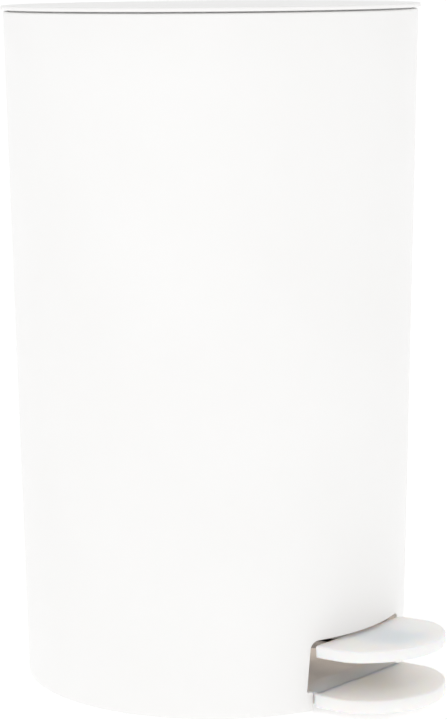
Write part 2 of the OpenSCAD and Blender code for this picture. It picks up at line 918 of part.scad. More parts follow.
module bucket_ear() {
    across(ear_in, ear_out) {
        translate([0, handle_z]) circle(r = ear_radius);
        translate([-ear_radius, flange_top - ear_root])
            square([2 * ear_radius, ear_rise + ear_root]);
    }
}

module inner_bucket() {
    color(pale_grey)
        difference() {
            union() {
                bucket_skin();
                both_sides() bucket_ear();
            }
            translate([-flange_notch_half, bucket_top_r + notch_step, flange_z - overcut])
                cube([2 * flange_notch_half, rim_r, flange_thick + 2 * overcut]);
            pin_along_x(wire_r + running_gap, ear_out + overcut, 0, handle_z);
        }
}

module bucket_handle() {
    color(steel) {
        translate([0, 0, handle_z])
            rotate([0, 0, 180])
                rotate_extrude(angle = 180)
                    translate([bail_r, 0])
                        circle(r = wire_r);
        both_sides() {
            translate([ear_in - hook_length, 0, handle_z])
                rotate([0, 90, 0])
                    cylinder(r = wire_r, h = bail_r - ear_in + hook_length);
            translate([bail_r, 0, handle_z])
                sphere(r = wire_r);
        }
    }
}

module handle_grip() {
    color(pale_grey)
        translate([0, 0, handle_z])
            rotate([0, 0, 270 - grip_angle / 2])
                rotate_extrude(angle = grip_angle)
                    translate([bail_r, 0])
                        difference() {
                            circle(r = grip_diameter / 2);
                            circle(r = wire_r + running_gap);
                        }
}

outer_shell();
base_plate();
base_screws();
rubber_feet();
pedal_axle();
axle_clips();
rod_guides();
hinge_pin();
hinge_pin_caps();
lid();
lid_bracket();
bracket_screws();
bracket_pin();
bracket_pin_clips();
pedal_tread();
lever_arm();
tread_rivets();
lever_pin();
lever_pin_clips();
lift_rod();
rod_head();
rod_foot();
inner_bucket();
bucket_handle();
handle_grip();
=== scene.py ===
# Looks of the pedal trash can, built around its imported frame. Lengths are in metres:
# a length named in millimetres is multiplied by MM.
import json
import math

import bmesh
import bpy
from mathutils import Matrix, Vector


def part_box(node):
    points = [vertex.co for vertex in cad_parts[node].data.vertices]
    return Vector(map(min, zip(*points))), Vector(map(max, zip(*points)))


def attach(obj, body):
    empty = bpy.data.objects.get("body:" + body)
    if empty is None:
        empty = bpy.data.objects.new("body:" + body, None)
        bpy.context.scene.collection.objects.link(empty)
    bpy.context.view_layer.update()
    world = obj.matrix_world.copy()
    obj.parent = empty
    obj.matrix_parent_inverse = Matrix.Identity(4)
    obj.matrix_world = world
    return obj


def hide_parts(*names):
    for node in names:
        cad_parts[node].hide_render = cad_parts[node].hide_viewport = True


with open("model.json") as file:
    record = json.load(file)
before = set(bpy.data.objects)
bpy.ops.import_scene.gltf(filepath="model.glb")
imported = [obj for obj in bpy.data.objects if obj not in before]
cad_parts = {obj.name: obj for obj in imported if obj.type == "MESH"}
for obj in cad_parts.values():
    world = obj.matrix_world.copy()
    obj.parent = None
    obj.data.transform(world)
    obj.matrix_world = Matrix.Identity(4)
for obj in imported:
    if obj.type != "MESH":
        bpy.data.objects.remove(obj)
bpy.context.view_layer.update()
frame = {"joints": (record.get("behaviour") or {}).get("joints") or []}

MM = 0.001
GUARD = 0.25 * MM

# ---------------------------------------------------------------- sizes shared with the frame
rod_low, rod_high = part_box("lift_rod")
tail_low, tail_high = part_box("bracket_pin")
joints = {joint["name"]: joint for joint in frame["joints"]}

WALL = 2.2 * MM
HINGE_Y, HINGE_Z = joints["lid_hinge"]["pos_m"][1:]
RIM_R = HINGE_Y - 6 * MM
RIM_Z = HINGE_Z + 2 * MM
FOOT_R = RIM_R - 6 * MM
TAPER = (RIM_R - FOOT_R) / RIM_Z
PIVOT_Y, PIVOT_Z = joints["pedal_pivot"]["pos_m"][1:]


def outer_r(z):
    return FOOT_R + TAPER * z


def inner_r(z):
    return outer_r(z) - WALL


# ---------------------------------------------------------------- outlines
def rounded(corners, segments=5, guard=GUARD, closed=True):
    """A polyline through corners (x, y, radius), each corner turned into an arc.
    A guard point beside each arc keeps shading flat on the straight stretches."""
    points = []
    count = len(corners)
    for i, (x, y, radius) in enumerate(corners):
        here = Vector((x, y))
        if radius <= 0 or (not closed and i in (0, count - 1)):
            points.append(here)
            continue
        before = Vector(corners[i - 1][:2])
        after = Vector(corners[(i + 1) % count][:2])
        a, b = (before - here), (after - here)
        room = min(a.length, b.length)
        a.normalize()
        b.normalize()
        half = math.acos(max(-1, min(1, a.dot(b)))) / 2
        reach = radius / math.tan(half)
        centre = here + (a + b).normalized() * (radius / math.sin(half))
        start, end = here + a * reach - centre, here + b * reach - centre
        turn = math.atan2(start.x * end.y - start.y * end.x, start.dot(end))
        if guard and room > reach + 2 * guard:
            points.append(here + a * (reach + guard))
        for step in range(segments + 1):
            angle = turn * step / segments
            points.append(centre + Matrix.Rotation(angle, 2) @ start)
        if guard and room > reach + 2 * guard:
            points.append(here + b * (reach + guard))
    return points


def arc(x, y, radius, start, end, steps):
    """Points on a circle from the angle start to the angle end, in degrees."""
    angles = [math.radians(start + (end - start) * k / steps) for k in range(steps + 1)]
    return [Vector((x + radius * math.cos(a), y + radius * math.sin(a))) for a in angles]


def ring(x, y, radius, run=0.0, count=32):
    """A circle, or a slot whose round ends are run apart along x."""
    half = count // 2
    near = arc(x, y, radius, 90, 270, half)
    far = arc(x + run, y, radius, -90, 90, half)
    if run == 0:
        near.pop()
        far.pop()
    return far + near


def area_of(points):
    pairs = zip(points, points[1:] + points[:1])
    return sum(a.x * b.y - a.y * b.x for a, b in pairs) / 2


def inset(points, distance):
    """Moves each point of a closed outline inwards along its own normal."""
    side = 1 if area_of(points) > 0 else -1
    moved = []
    for i, here in enumerate(points):
        a = (here - points[i - 1])
        b = (points[(i + 1) % len(points)] - here)
        if a.length < 1e-9 or b.length < 1e-9:
            a = b = a + b
        a.normalize()
        b.normalize()
        normal = Vector((-(a + b).y, (a + b).x)).normalized() * side
        moved.append(here + normal * (distance / max(0.5, normal.dot(Vector((-a.y, a.x)) * side))))
    return moved


# ---------------------------------------------------------------- meshes
def bridge(bm, low, high):
    """Quads between two closed loops of the same number of vertices."""
    for i in range(len(low)):
        j = (i + 1) % len(low)
        quad = (low[i], low[j], high[j], high[i])
        if len(set(quad)) == 4:
            bm.faces.new(quad)


def cap(bm, loops):
    """Fills a flat region between an outer loop and any holes."""
    edges = []
    for loop in loops:
        for i in range(len(loop)):
            pair = (loop[i], loop[(i + 1) % len(loop)])
            edges.append(bm.edges.get(pair) or bm.edges.new(pair))
    bmesh.ops.triangle_fill(bm, use_beauty=True, use_dissolve=False, edges=edges)


def edge_steps(radius, low, segments=4):
    """(inset, level) pairs that turn a square edge at level low into a round one."""
    steps = []
    for k in range(segments + 1):
        angle = math.pi / 2 * k / segments
        steps.append((radius * (1 - math.sin(angle)), low + radius * (1 - math.cos(angle))))
    return steps


def sunk(bm, place, levels, outline_at):
    """Rings of a hole or a pit, one for each (size, level)."""
    rings = [[bm.verts.new(place @ Vector((p.x, p.y, level))) for p in outline_at(size)]
             for size, level in levels]
    for low, high in zip(rings, rings[1:]):
        bridge(bm, low, high)
    return rings


def slab(outline, thick, edge=0.3 * MM, holes=(), place=Matrix(), bm=None, pits=()):
    """A plate with round edges: outline in its own (x, y), from z = 0 to z = thick.
    A hole is (x, y, radius) or, for a slot, (x, y, radius, run); a pit in the lower face
    is (outline, depth)."""
    bm = bm or bmesh.new()
    guard = 0.2 * MM
    steps = [(edge + guard, 0)] + edge_steps(edge, 0)
    steps += [(i, thick - z) for i, z in reversed(edge_steps(edge, 0))] + [(edge + guard, thick)]
    loops = []
    for inward, level in steps:
        points = inset(outline, inward) if inward > 1e-9 else outline
        loops.append([bm.verts.new(place @ Vector((p.x, p.y, level))) for p in points])
    for low, high in zip(loops, loops[1:]):
        bridge(bm, low, high)
    lows, highs = [loops[0]], [loops[-1]]
    chamfer = 0.15 * MM
    for x, y, radius, *run in holes:
        levels = [(radius + chamfer, 0), (radius, chamfer), (radius, thick - chamfer),
                  (radius + chamfer, thick)]
        rings = sunk(bm, place, levels, lambda size: ring(x, y, size, *run))
        lows.append(rings[0])
        highs.append(rings[-1])
    for pit, depth in pits:
        levels = [(0, 0), (chamfer, chamfer), (chamfer, depth)]
        rings = sunk(bm, place, levels, lambda size: inset(pit, size))
        lows.append(rings[0])
        cap(bm, [rings[-1]])
    cap(bm, lows)
    cap(bm, highs)
    return bm


def lathe(profile, steps=128, start=0.0, sweep=360.0, place=Matrix(), bm=None, shut=True):
    """Turns a profile of (r, z) points about Z. A part turn gets a face at each end."""
    bm = bm or bmesh.new()
    whole = abs(sweep - 360) < 1e-6
    columns = []
    count = steps if whole else steps + 1
    for k in range(count):
        angle = math.radians(start + sweep * k / steps)
        columns.append([bm.verts.new(place @ Vector((p[0] * math.cos(angle),
                                                     p[0] * math.sin(angle), p[1])))
                        for p in profile])
    last = len(profile) if shut else len(profile) - 1
    for k in range(steps):
        a, b = columns[k], columns[(k + 1) % count]
        for i in range(last):
            j = (i + 1) % len(profile)
            if max(profile[i][0], profile[j][0]) > 1e-9:
                bm.faces.new((a[i], b[i], b[j], a[j]))
    if not whole:
        bm.faces.new(columns[0])
        bm.faces.new(list(reversed(columns[-1])))
    return bm


def sweep_tube(path, radius, sides=20, bm=None):
    """A round bar along a path of points, with slightly rounded ends."""
    bm = bm or bmesh.new()
    tangents = []
    for i in range(len(path)):
        a, b = path[max(0, i - 1)], path[min(len(path) - 1, i + 1)]
        tangents.append((b - a).normalized())
    normal = tangents[0].orthogonal().normalized()
    loops = []
    for i, (point, along) in enumerate(zip(path, tangents)):
        normal = (normal - along * normal.dot(along)).normalized()
        side = along.cross(normal)
        loops.append([bm.verts.new(point + radius * (normal * math.cos(2 * math.pi * k / sides)
                                                     + side * math.sin(2 * math.pi * k / sides)))
                      for k in range(sides)])
    for low, high in zip(loops, loops[1:]):
        bridge(bm, low, high)
    for loop, along in ((loops[0], -tangents[0]), (loops[-1], tangents[-1])):
        centre = sum((v.co for v in loop), Vector()) / len(loop)
        inner = [bm.verts.new(centre + (v.co - centre) * 0.8 + along * radius * 0.12) for v in loop]
        bridge(bm, loop, inner)
        bm.faces.new(inner)
    return bm


def finish_piece(name, bm, body, material, node=None, sharp=32):
    """Makes an object of a mesh, gives it its finish and lets it ride on its body."""
    bmesh.ops.remove_doubles(bm, verts=bm.verts, dist=1e-7)
    bmesh.ops.dissolve_degenerate(bm, edges=bm.edges, dist=1e-8)
    bmesh.ops.recalc_face_normals(bm, faces=bm.faces)
    for face in bm.faces:
        face.smooth = True
    for edge in bm.edges:
        edge.smooth = len(edge.link_faces) == 2 and edge.calc_face_angle(0) < math.radians(sharp)
    mesh = bpy.data.meshes.new(name)
    bm.to_mesh(mesh)
    bm.free()
    mesh.materials.append(material)
    piece = bpy.data.objects.new(name, mesh)
    bpy.context.scene.collection.objects.link(piece)
    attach(piece, body)
    if node:
        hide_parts(node)
    return piece


# Turns an outline drawn in (y, z) upright, with its thickness along X.
ACROSS = Matrix(((0, 0, 1, 0), (1, 0, 0, 0), (0, 1, 0, 0), (0, 0, 0, 1)))
# Turns an outline drawn in (x, z) upright, with its thickness along -Y.
UPRIGHT = Matrix.Rotation(math.pi / 2, 4, "X")
SMALL_STEPS = 40


def across(x0):
    """Places an outline drawn in (y, z) so that its thickness runs along X from x0."""
    return Matrix.Translation((x0, 0, 0)) @ ACROSS


def facing(x, y, z, side=1):
    """Places a lathed piece at a point, with its axis along +X or, where side is -1, along -X."""
    return Matrix.Translation((x, y, z)) @ Matrix.Rotation(side * math.pi / 2, 4, "Y")


def round_place(radius, angle, z=0):
    """A place on a circle about Z, with its own x axis pointing outwards."""
    return Matrix.Rotation(math.radians(angle), 4, "Z") @ Matrix.Translation((radius, 0, z))


# ---------------------------------------------------------------- materials
def material_base(name, color, roughness, metallic=0.0):
    """A node material with one shader, even all over: the functions below vary it."""
    material = bpy.data.materials.new(name)
    material.use_nodes = True
    nodes = material.node_tree.nodes
    nodes.clear()
    output = nodes.new("ShaderNodeOutputMaterial")
    shader = nodes.new("ShaderNodeBsdfPrincipled")
    shader.inputs["Base Color"].default_value = (*color, 1)
    shader.inputs["Roughness"].default_value = roughness
    shader.inputs["Metallic"].default_value = metallic
    material.node_tree.links.new(shader.outputs["BSDF"], output.inputs["Surface"])
    return material, shader


def noise(material, scale, detail=2.0, stretch=(1, 1, 1)):
    """A noise in object space. scale is in waves per metre."""
    nodes, links = material.node_tree.nodes, material.node_tree.links
    place = nodes.new("ShaderNodeTexCoord")
    mapping = nodes.new("ShaderNodeMapping")
    mapping.inputs["Scale"].default_value = stretch
    texture = nodes.new("ShaderNodeTexNoise")
    texture.inputs["Scale"].default_value = scale
    texture.inputs["Detail"].default_value = detail
    links.new(place.outputs["Object"], mapping.inputs["Vector"])
    links.new(mapping.outputs["Vector"], texture.inputs["Vector"])
    return texture.outputs["Fac"]


NOISE_LOW, NOISE_HIGH = 0.3, 0.7


def vary_color(material, shader, factor, low, high):
    """Blends two colours by a noise."""
    nodes, links = material.node_tree.nodes, material.node_tree.links
    ramp = nodes.new("ShaderNodeValToRGB")
    ramp.color_ramp.elements[0].position = NOISE_LOW
    ramp.color_ramp.elements[1].position = NOISE_HIGH
    ramp.color_ramp.elements[0].color = (*low, 1)
    ramp.color_ramp.elements[1].color = (*high, 1)
    links.new(factor, ramp.inputs["Fac"])
    links.new(ramp.outputs["Color"], shader.inputs["Base Color"])


def vary_roughness(material, shader, factor, low, high):
    """Lets the roughness run from low to high by a noise."""
    nodes, links = material.node_tree.nodes, material.node_tree.links
    spread = nodes.new("ShaderNodeMapRange")
    spread.inputs["From Min"].default_value = NOISE_LOW
    spread.inputs["From Max"].default_value = NOISE_HIGH
    spread.inputs["To Min"].default_value = low
    spread.inputs["To Max"].default_value = high
    links.new(factor, spread.inputs["Value"])
    links.new(spread.outputs["Result"], shader.inputs["Roughness"])


def relief(material, shader, factors, strength, distance):
    """Adds fine relief: each factor is a noise output, all with the same weight."""
    nodes, links = material.node_tree.nodes, material.node_tree.links
    height = factors[0]
    for other in factors[1:]:
        total = nodes.new("ShaderNodeMath")
        total.operation = "ADD"
        links.new(height, total.inputs[0])
        links.new(other, total.inputs[1])
        height = total.outputs["Value"]
    bump = nodes.new("ShaderNodeBump")
    bump.inputs["Strength"].default_value = strength
    bump.inputs["Distance"].default_value = distance
    links.new(height, bump.inputs["Height"])
    links.new(bump.outputs["Normal"], shader.inputs["Normal"])


def moulded_plastic(name, low, high, rough, grain=0.12, depth=0.0):
    """Moulded plastic: a faint cloud in its colour, uneven gloss and a fine skin. Light
    goes into it as far as depth, and comes out warmer."""
    material, shader = material_base(name, high, rough[0])
    vary_color(material, shader, noise(material, 14, 3), low, high)
    vary_roughness(material, shader, noise(material, 60, 4), *rough)
    relief(material, shader, [noise(material, 900, 2), noise(material, 90, 1)], grain, 0.02 * MM)
    shader.inputs["IOR"].default_value = 1.49
    if depth:
        shader.inputs["Subsurface Weight"].default_value = 0.9
        shader.inputs["Subsurface Radius"].default_value = (1.0, 0.7, 0.5)
        shader.inputs["Subsurface Scale"].default_value = depth
    return material


def drawn_steel(name, low, high, rough, stretch):
    """Steel with fine marks along its length."""
    material, shader = material_base(name, high, rough[0], metallic=1.0)
    marks = noise(material, 900, 3, stretch)
    vary_color(material, shader, noise(material, 90, 3), low, high)
    vary_roughness(material, shader, marks, *rough)
    relief(material, shader, [marks], 0.2, 0.02 * MM)
    return material


def zinc_plate(name):
    """Dull zinc plating: a soft mottle and an uneven sheen."""
    material, shader = material_base(name, (0.6, 0.61, 0.63), 0.4, metallic=1.0)
    vary_color(material, shader, noise(material, 220, 4), (0.47, 0.48, 0.50), (0.66, 0.67, 0.69))
    vary_roughness(material, shader, noise(material, 350, 3), 0.32, 0.52)
    relief(material, shader, [noise(material, 1800, 2)], 0.15, 0.02 * MM)
    return material


def rubber(name):
    material, shader = material_base(name, (0.16, 0.16, 0.165), 0.8)
    vary_color(material, shader, noise(material, 120, 3), (0.12, 0.12, 0.125), (0.18, 0.18, 0.185))
    vary_roughness(material, shader, noise(material, 300, 2), 0.7, 0.9)
    relief(material, shader, [noise(material, 2200, 3)], 0.4, 0.04 * MM)
    return material


WHITE = moulded_plastic("white_plastic", (0.925, 0.92, 0.91), (0.94, 0.936, 0.928), (0.29, 0.34), 0.01)
TREAD = moulded_plastic("tread_plastic", (0.905, 0.89, 0.88), (0.92, 0.905, 0.895), (0.36, 0.46), 0.06,
                        9 * MM)
GREY = moulded_plastic("grey_plastic", (0.60, 0.605, 0.615), (0.66, 0.665, 0.67), (0.42, 0.55), 0.1)
NYLON = moulded_plastic("nylon", (0.76, 0.755, 0.72), (0.82, 0.815, 0.79), (0.38, 0.5), 0.25)
STEEL_X = drawn_steel("bright_steel_x", (0.62, 0.62, 0.63), (0.74, 0.74, 0.75), (0.2, 0.34), (0.06, 1, 1))
STEEL_Z = drawn_steel("bright_steel_z", (0.60, 0.60, 0.61), (0.72, 0.72, 0.73), (0.22, 0.36), (1, 1, 0.06))
ZINC = zinc_plate("zinc_plate")
RUBBER = rubber("grey_rubber")


# ---------------------------------------------------------------- shell
PLATE_HALF = 34.8 * MM
TAB_HALF = PLATE_HALF - 2.5 * MM
TAB_TOP = 9.4 * MM
OPENING_HALF = PLATE_HALF + 1.2 * MM
OPENING_TOP = 34 * MM
OPENING_LEAN = math.radians(4)
OPENING_CORNER = 4 * MM
OPENING_EDGE = 0.6 * MM
STEP_CORNER = 0.6 * MM
FOOT_EDGE = 0.6 * MM


def wall_point(angle, z, depth):
    """A point of the wall: angle from the front towards +X, depth inside the outer surface."""
    low = min(z, FOOT_EDGE)
    drawn_in = FOOT_EDGE - math.sqrt(FOOT_EDGE ** 2 - (FOOT_EDGE - low) ** 2)
    radius = outer_r(z) - min(max(depth, drawn_in), WALL - drawn_in)
    return Vector((radius * math.sin(angle), -radius * math.cos(angle), z))


def spaced(points, step):
    """The same polyline with its long stretches split."""
    split = [points[0]]
    for a, b in zip(points, points[1:]):
        count = max(1, math.ceil((b - a).length / step))
        split += [a.lerp(b, k / count) for k in range(1, count + 1)]
    return split


def opening_side():
    """The right-hand side of the opening in (x, z), from the floor to the middle of its top,
    and how many of its points lie below the step at the top of the tab."""
    low_x = OPENING_HALF - TAB_TOP * math.tan(OPENING_LEAN)
    high_x = OPENING_HALF - OPENING_TOP * math.tan(OPENING_LEAN)
    corners = [(TAB_HALF, FOOT_EDGE, 0), (TAB_HALF, TAB_TOP, 1.2 * MM),
               (low_x, TAB_TOP, STEP_CORNER), (high_x, OPENING_TOP, OPENING_CORNER),
               (0, OPENING_TOP, 0)]
    points = rounded(corners, segments=6, guard=0, closed=False)[:-1]
    foot = [Vector((TAB_HALF, FOOT_EDGE * k / 3)) for k in range(3)]
    points = foot + spaced(points, 4 * MM)
    return points, sum(1 for p in points if p.y < TAB_TOP + STEP_CORNER + 0.01 * MM)


def grid(bm, columns, closed=False):
    """Quads between neighbouring columns of vertices."""
    pairs = list(zip(columns, columns[1:]))
    if closed:
        pairs.append((columns[-1], columns[0]))
    for a, b in pairs:
        for i in range(len(a) - 1):
            bm.faces.new((a[i], b[i], b[i + 1], a[i + 1]))


def shell_wall():
    """The tapered wall: a patch of rings round the opening, and a plain grid for the rest."""
    bm = bmesh.new()
    column = math.radians(2.5)
    patch_columns = 32
    patch_angle = column * patch_columns / 2
    patch_top = 62 * MM
    side, low_count = opening_side()
    half_top = side[-1].x
    top = [Vector((half_top * (1 - 2 * k / patch_columns), OPENING_TOP))
           for k in range(1, patch_columns)]
    outline = side + top + [Vector((-p.x, p.y)) for p in reversed(side)]

    walked = [0.0]
    for a, b in zip(side, side[1:]):
        walked.append(walked[-1] + (b - a).length)
    step_z = TAB_TOP - STEP_CORNER
    rows = [p.y for p in side[:4]]
    for i in range(4, len(side)):
        if i < low_count:
            rows.append(step_z * walked[i] / walked[low_count - 1])
        else:
            share = (walked[i] - walked[low_count - 1]) / (walked[-1] - walked[low_count - 1])
            rows.append(step_z + (patch_top - step_z) * share)
    around = [(patch_angle, z) for z in rows]
    around += [(patch_angle - column * k, patch_top) for k in range(1, patch_columns)]
    around += [(-angle, z) for angle, z in reversed(around[:len(rows)])]

    cut = edge_steps(OPENING_EDGE, 0)
    cut = [(OPENING_EDGE + GUARD, 0)] + cut + [(u, WALL - v) for u, v in reversed(cut)]
    cut.append((OPENING_EDGE + GUARD, WALL))
    spread = [(k / 8) ** 1.3 for k in range(1, 9)]
    columns = []
    for i, (here, (angle, level)) in enumerate(zip(outline, around)):
        along = outline[min(i + 1, len(outline) - 1)] - outline[max(i - 1, 0)]
        away = Vector((along.y, -along.x)).normalized()
        if here.y < FOOT_EDGE * 1.01:
            away = Vector((math.copysign(1, here.x), 0))
        line = []
        for u, v in cut:
            x, z = here + away * u
            line.append(wall_point(math.asin(x / (outer_r(z) - v)), z, v))
        near = here + away * (OPENING_EDGE + GUARD)
        for depth in (0, WALL):
            near_angle = math.asin(near.x / (outer_r(near.y) - depth))
            blend = [wall_point(near_angle + (angle - near_angle) * t,
                                near.y + (level - near.y) * t, depth) for t in spread]
            line = list(reversed(blend)) + line if depth == 0 else line + blend
        columns.append([bm.verts.new(point) for point in line])
    grid(bm, columns)
    bm.faces.new(columns[0])
    bm.faces.new(columns[-1])

    whole = round(2 * math.pi / column)
    curve = WALL / 2
    upper = [patch_top + (RIM_Z - curve - patch_top) * k / 8 for k in range(9)]
    behind = range(patch_columns // 2, whole - patch_columns // 2 + 1)
    loops = [[(z, 0) for z in upper]]
    loops.append([(RIM_Z - curve + curve * math.sin(math.pi * k / 8),
                   curve - curve * math.cos(math.pi * k / 8)) for k in range(9)])
    loops.append([(z, WALL) for z in reversed(upper)])
    full = [point for loop in loops for point in loop]
    grid(bm, [[bm.verts.new(wall_point(column * k, z, depth)) for z, depth in full]
              for k in range(whole)], closed=True)
    low = [(z, 0) for z in reversed(rows)] + [(z, WALL) for z in rows]
    grid(bm, [[bm.verts.new(wall_point(column * k, z, depth)) for z, depth in low]
              for k in behind])
    bmesh.ops.remove_doubles(bm, verts=bm.verts, dist=2e-6)
    return bm


finish_piece("shell_wall", shell_wall(), "housing", WHITE, "outer_shell")

PIN_R = 2 * MM
KNUCKLE_R = 4 * MM
KNUCKLE_HALF = 12 * MM
SIDE_GAP = 0.5 * MM
LUG_WIDTH = 5 * MM
LUG_IN = KNUCKLE_HALF + SIDE_GAP
LUG_HEIGHT = 30 * MM
RUNNING_GAP = 0.05 * MM
PRESS_GAP = 0.03 * MM
SCREW_HEAD = 1.9
FLANGE_TOP = RIM_Z - 19 * MM
FLANGE_THICK = 3 * MM
FLANGE_Z = FLANGE_TOP - FLANGE_THICK
FLANGE_R = inner_r(FLANGE_Z) - 3.3 * MM
BASE_LIFT = 3 * MM
BASE_THICK = 2.5 * MM
BASE_TOP = BASE_LIFT + BASE_THICK
SCREW_CIRCLE = inner_r(0) - 7.8 * MM
SCREW_ANGLES = (30, 150, 210, 330)
SCREW_R = 1.5 * MM
RUBBER_CIRCLE = inner_r(0) - 19.8 * MM
RUBBER_R = 7 * MM
RUBBER_ANGLES = (45, 135, 225, 315)
ROD_Y = (rod_low.y + rod_high.y) / 2
ROD_R = 2 * MM
GUIDE_LEVELS = (95 * MM, RIM_Z - 102 * MM)
GUIDE_HEIGHT = 12 * MM
GUIDE_HALF = 7 * MM


def shell_gussets():
    """Six thin brackets under the bucket's flange."""
    bm = bmesh.new()
    thick = 2 * MM
    low = FLANGE_Z - 55 * MM
    corners = [(FLANGE_R - 3.5 * MM, FLANGE_Z, 0.8 * MM), (inner_r(FLANGE_Z) + WALL / 2, FLANGE_Z, 0),
               (inner_r(low) + WALL / 2, low, 0)]
    outline = rounded(corners)
    for angle in range(0, 360, 60):
        place = (Matrix.Rotation(math.radians(angle), 4, "Z") @ Matrix.Translation((0, thick / 2, 0))
                 @ UPRIGHT)
        slab(outline, thick, 0.3 * MM, place=place, bm=bm)
    return bm


def shell_bosses():
    """Four screw posts, each tied to the wall by a rib."""
    bm = bmesh.new()
    post_r, high = 4 * MM, BASE_TOP + 20 * MM
    bore_top = high - 3 * MM
    profile = rounded([(SCREW_R, BASE_TOP, 0), (post_r, BASE_TOP, 0.2 * MM), (post_r, high, 0.5 * MM),
                       (0, high, 0)], guard=0)
    profile += [Vector((0, bore_top)), Vector((SCREW_R, bore_top))]
    rib_thick, rib_in = 2 * MM, post_r - 0.5 * MM
    low_reach, high_reach = [inner_r(z) + WALL / 2 - SCREW_CIRCLE for z in (BASE_TOP, high)]
    rib = rounded([(rib_in, BASE_TOP, 0), (low_reach, BASE_TOP, 0), (high_reach, high, 0),
                   (rib_in, high, 0)])
    for angle in SCREW_ANGLES:
        place = round_place(SCREW_CIRCLE, angle)
        lathe(profile, SMALL_STEPS, place=place, bm=bm)
        turn = place @ Matrix.Translation((0, rib_thick / 2, 0)) @ UPRIGHT
        slab(rib, rib_thick, 0.25 * MM, place=turn, bm=bm)
    return bm


def shell_guide_rails():
    """Two upright rails beside each rod guide."""
    bm = bmesh.new()
    thick, deep, soft = 2 * MM, 5 * MM, 0.5 * MM
    start = GUIDE_HALF + 0.1 * MM
    for level in GUIDE_LEVELS:
        low = level - GUIDE_HEIGHT / 2
        high = low + GUIDE_HEIGHT
        wall_y = math.sqrt(inner_r(low) ** 2 - (start + thick) ** 2)
        front, back = wall_y - deep, wall_y + WALL / 2
        outline = rounded([(front, low, soft), (back, low, 0), (back, high, 0), (front, high, soft)])
        slab(outline, thick, 0.3 * MM, place=across(start), bm=bm)
        slab(outline, thick, 0.3 * MM, place=across(-start - thick), bm=bm)
    return bm


def hinge_lugs():
    """The two lugs that hold the hinge pin."""
    bm = bmesh.new()
    foot = HINGE_Z - LUG_HEIGHT
    points = [Vector((outer_r(foot) - WALL / 2, foot)),
              Vector((outer_r(HINGE_Z) - WALL / 2, HINGE_Z + 0.4 * MM))]
    points += arc(HINGE_Y, HINGE_Z, KNUCKLE_R, 135, -60, 18)
    hole = [(HINGE_Y, HINGE_Z, PIN_R + RUNNING_GAP)]
    slab(points, LUG_WIDTH, 0.4 * MM, hole, across(LUG_IN), bm)
    slab(points, LUG_WIDTH, 0.4 * MM, hole, across(-LUG_IN - LUG_WIDTH), bm)
    return bm


for piece_name, maker in (("shell_gussets", shell_gussets), ("shell_screw_posts", shell_bosses),
                          ("shell_guide_rails", shell_guide_rails), ("shell_hinge_lugs", hinge_lugs)):
    finish_piece(piece_name, maker(), "housing", WHITE, "outer_shell")


# ---------------------------------------------------------------- small round pieces
def pin_profile(radius, length, soft=0.3 * MM):
    """Half section of a straight pin from z = 0 to length, with round ends."""
    corners = [(0, 0, 0), (radius, 0, soft), (radius, length, soft), (0, length, 0)]
    return rounded(corners, segments=3, guard=0.2 * MM)


def cross_pin(name, radius, half, y, z, body, node):
    """A steel pin that lies along X."""
    bm = lathe(pin_profile(radius, 2 * half), 36, place=facing(-half, y, z))
    finish_piece(name, bm, body, STEEL_X, node)


def push_washers(name, pin_r, x, y, z, body, node):
    """Push-on washers: a flat ring with a raised collar, one at each end of a pin."""
    bm = bmesh.new()
    thick, reach = 1.2 * MM, 1.8 * MM
    bore, outer = pin_r + PRESS_GAP, pin_r + reach
    profile = rounded([(bore, 0, 0.1 * MM), (outer, 0, 0.15 * MM), (outer, 0.55 * thick, 0.2 * MM),
                       (pin_r + 0.55 * reach, 0.6 * thick, 0.3 * MM),
                       (pin_r + 0.4 * reach, thick, 0.15 * MM), (bore, thick, 0.1 * MM)],
                      segments=3, guard=0)
    for side in (1, -1):
        lathe(profile, SMALL_STEPS, place=facing(side * x, y, z, side), bm=bm)
    finish_piece(name, bm, body, ZINC, node)


def screw_at(bm, place, radius, length):
    """A pan-head screw with a cross recess: the head bears at z = 0, the shank points up."""
    head_r, head_h = SCREW_HEAD * radius, 1.2 * radius
    flat = 1.1 * radius
    profile = rounded([(flat, -head_h, 0), (head_r, -head_h, 0.5 * head_h), (head_r, 0, 0.1 * MM),
                       (radius, 0, 0.05 * MM), (radius, length - radius, 0.2 * MM),
                       (0.25 * radius, length, 0.1 * MM), (0, length, 0)],
                      segments=4, guard=0.1 * MM, closed=False)
    steps = 36
    lathe(profile, steps, place=place, bm=bm, shut=False)
    long, slim, slope = 0.95 * radius, 0.2 * radius, 0.75
    quarter = [Vector((long, -slim)), Vector((long, slim)), Vector((slim, slim))]
    cross = [Matrix.Rotation(math.pi / 2 * turn, 2) @ p for turn in range(4) for p in quarter]
    face = [bm.verts.new(place @ Vector((p.x, p.y, -head_h))) for p in arc(0, 0, flat, 0, 360, steps)[:-1]]
    rings = sunk(bm, place, [(1, -head_h), (slope, -0.35 * head_h)],
                 lambda size: [p * size for p in cross])
    cap(bm, [face, rings[0]])
    cap(bm, [rings[1]])


CLIP_GAP = 0.2 * MM
CHEEK_IN, CHEEK = 5.4 * MM, 2 * MM
CHEEK_OUT = CHEEK_IN + CHEEK
POST_IN = CHEEK_OUT + 1.6 * MM
POST_OUT = POST_IN + 4 * MM
HUB_R = 6 * MM
LINK_PIN_R = 1.6 * MM
EYE_R = LINK_PIN_R + 1.4 * MM
REAR_PIN_Z = 11.3 * MM
TAIL_Y, TAIL_Z = (tail_low.y + tail_high.y) / 2, (tail_low.z + tail_high.z) / 2

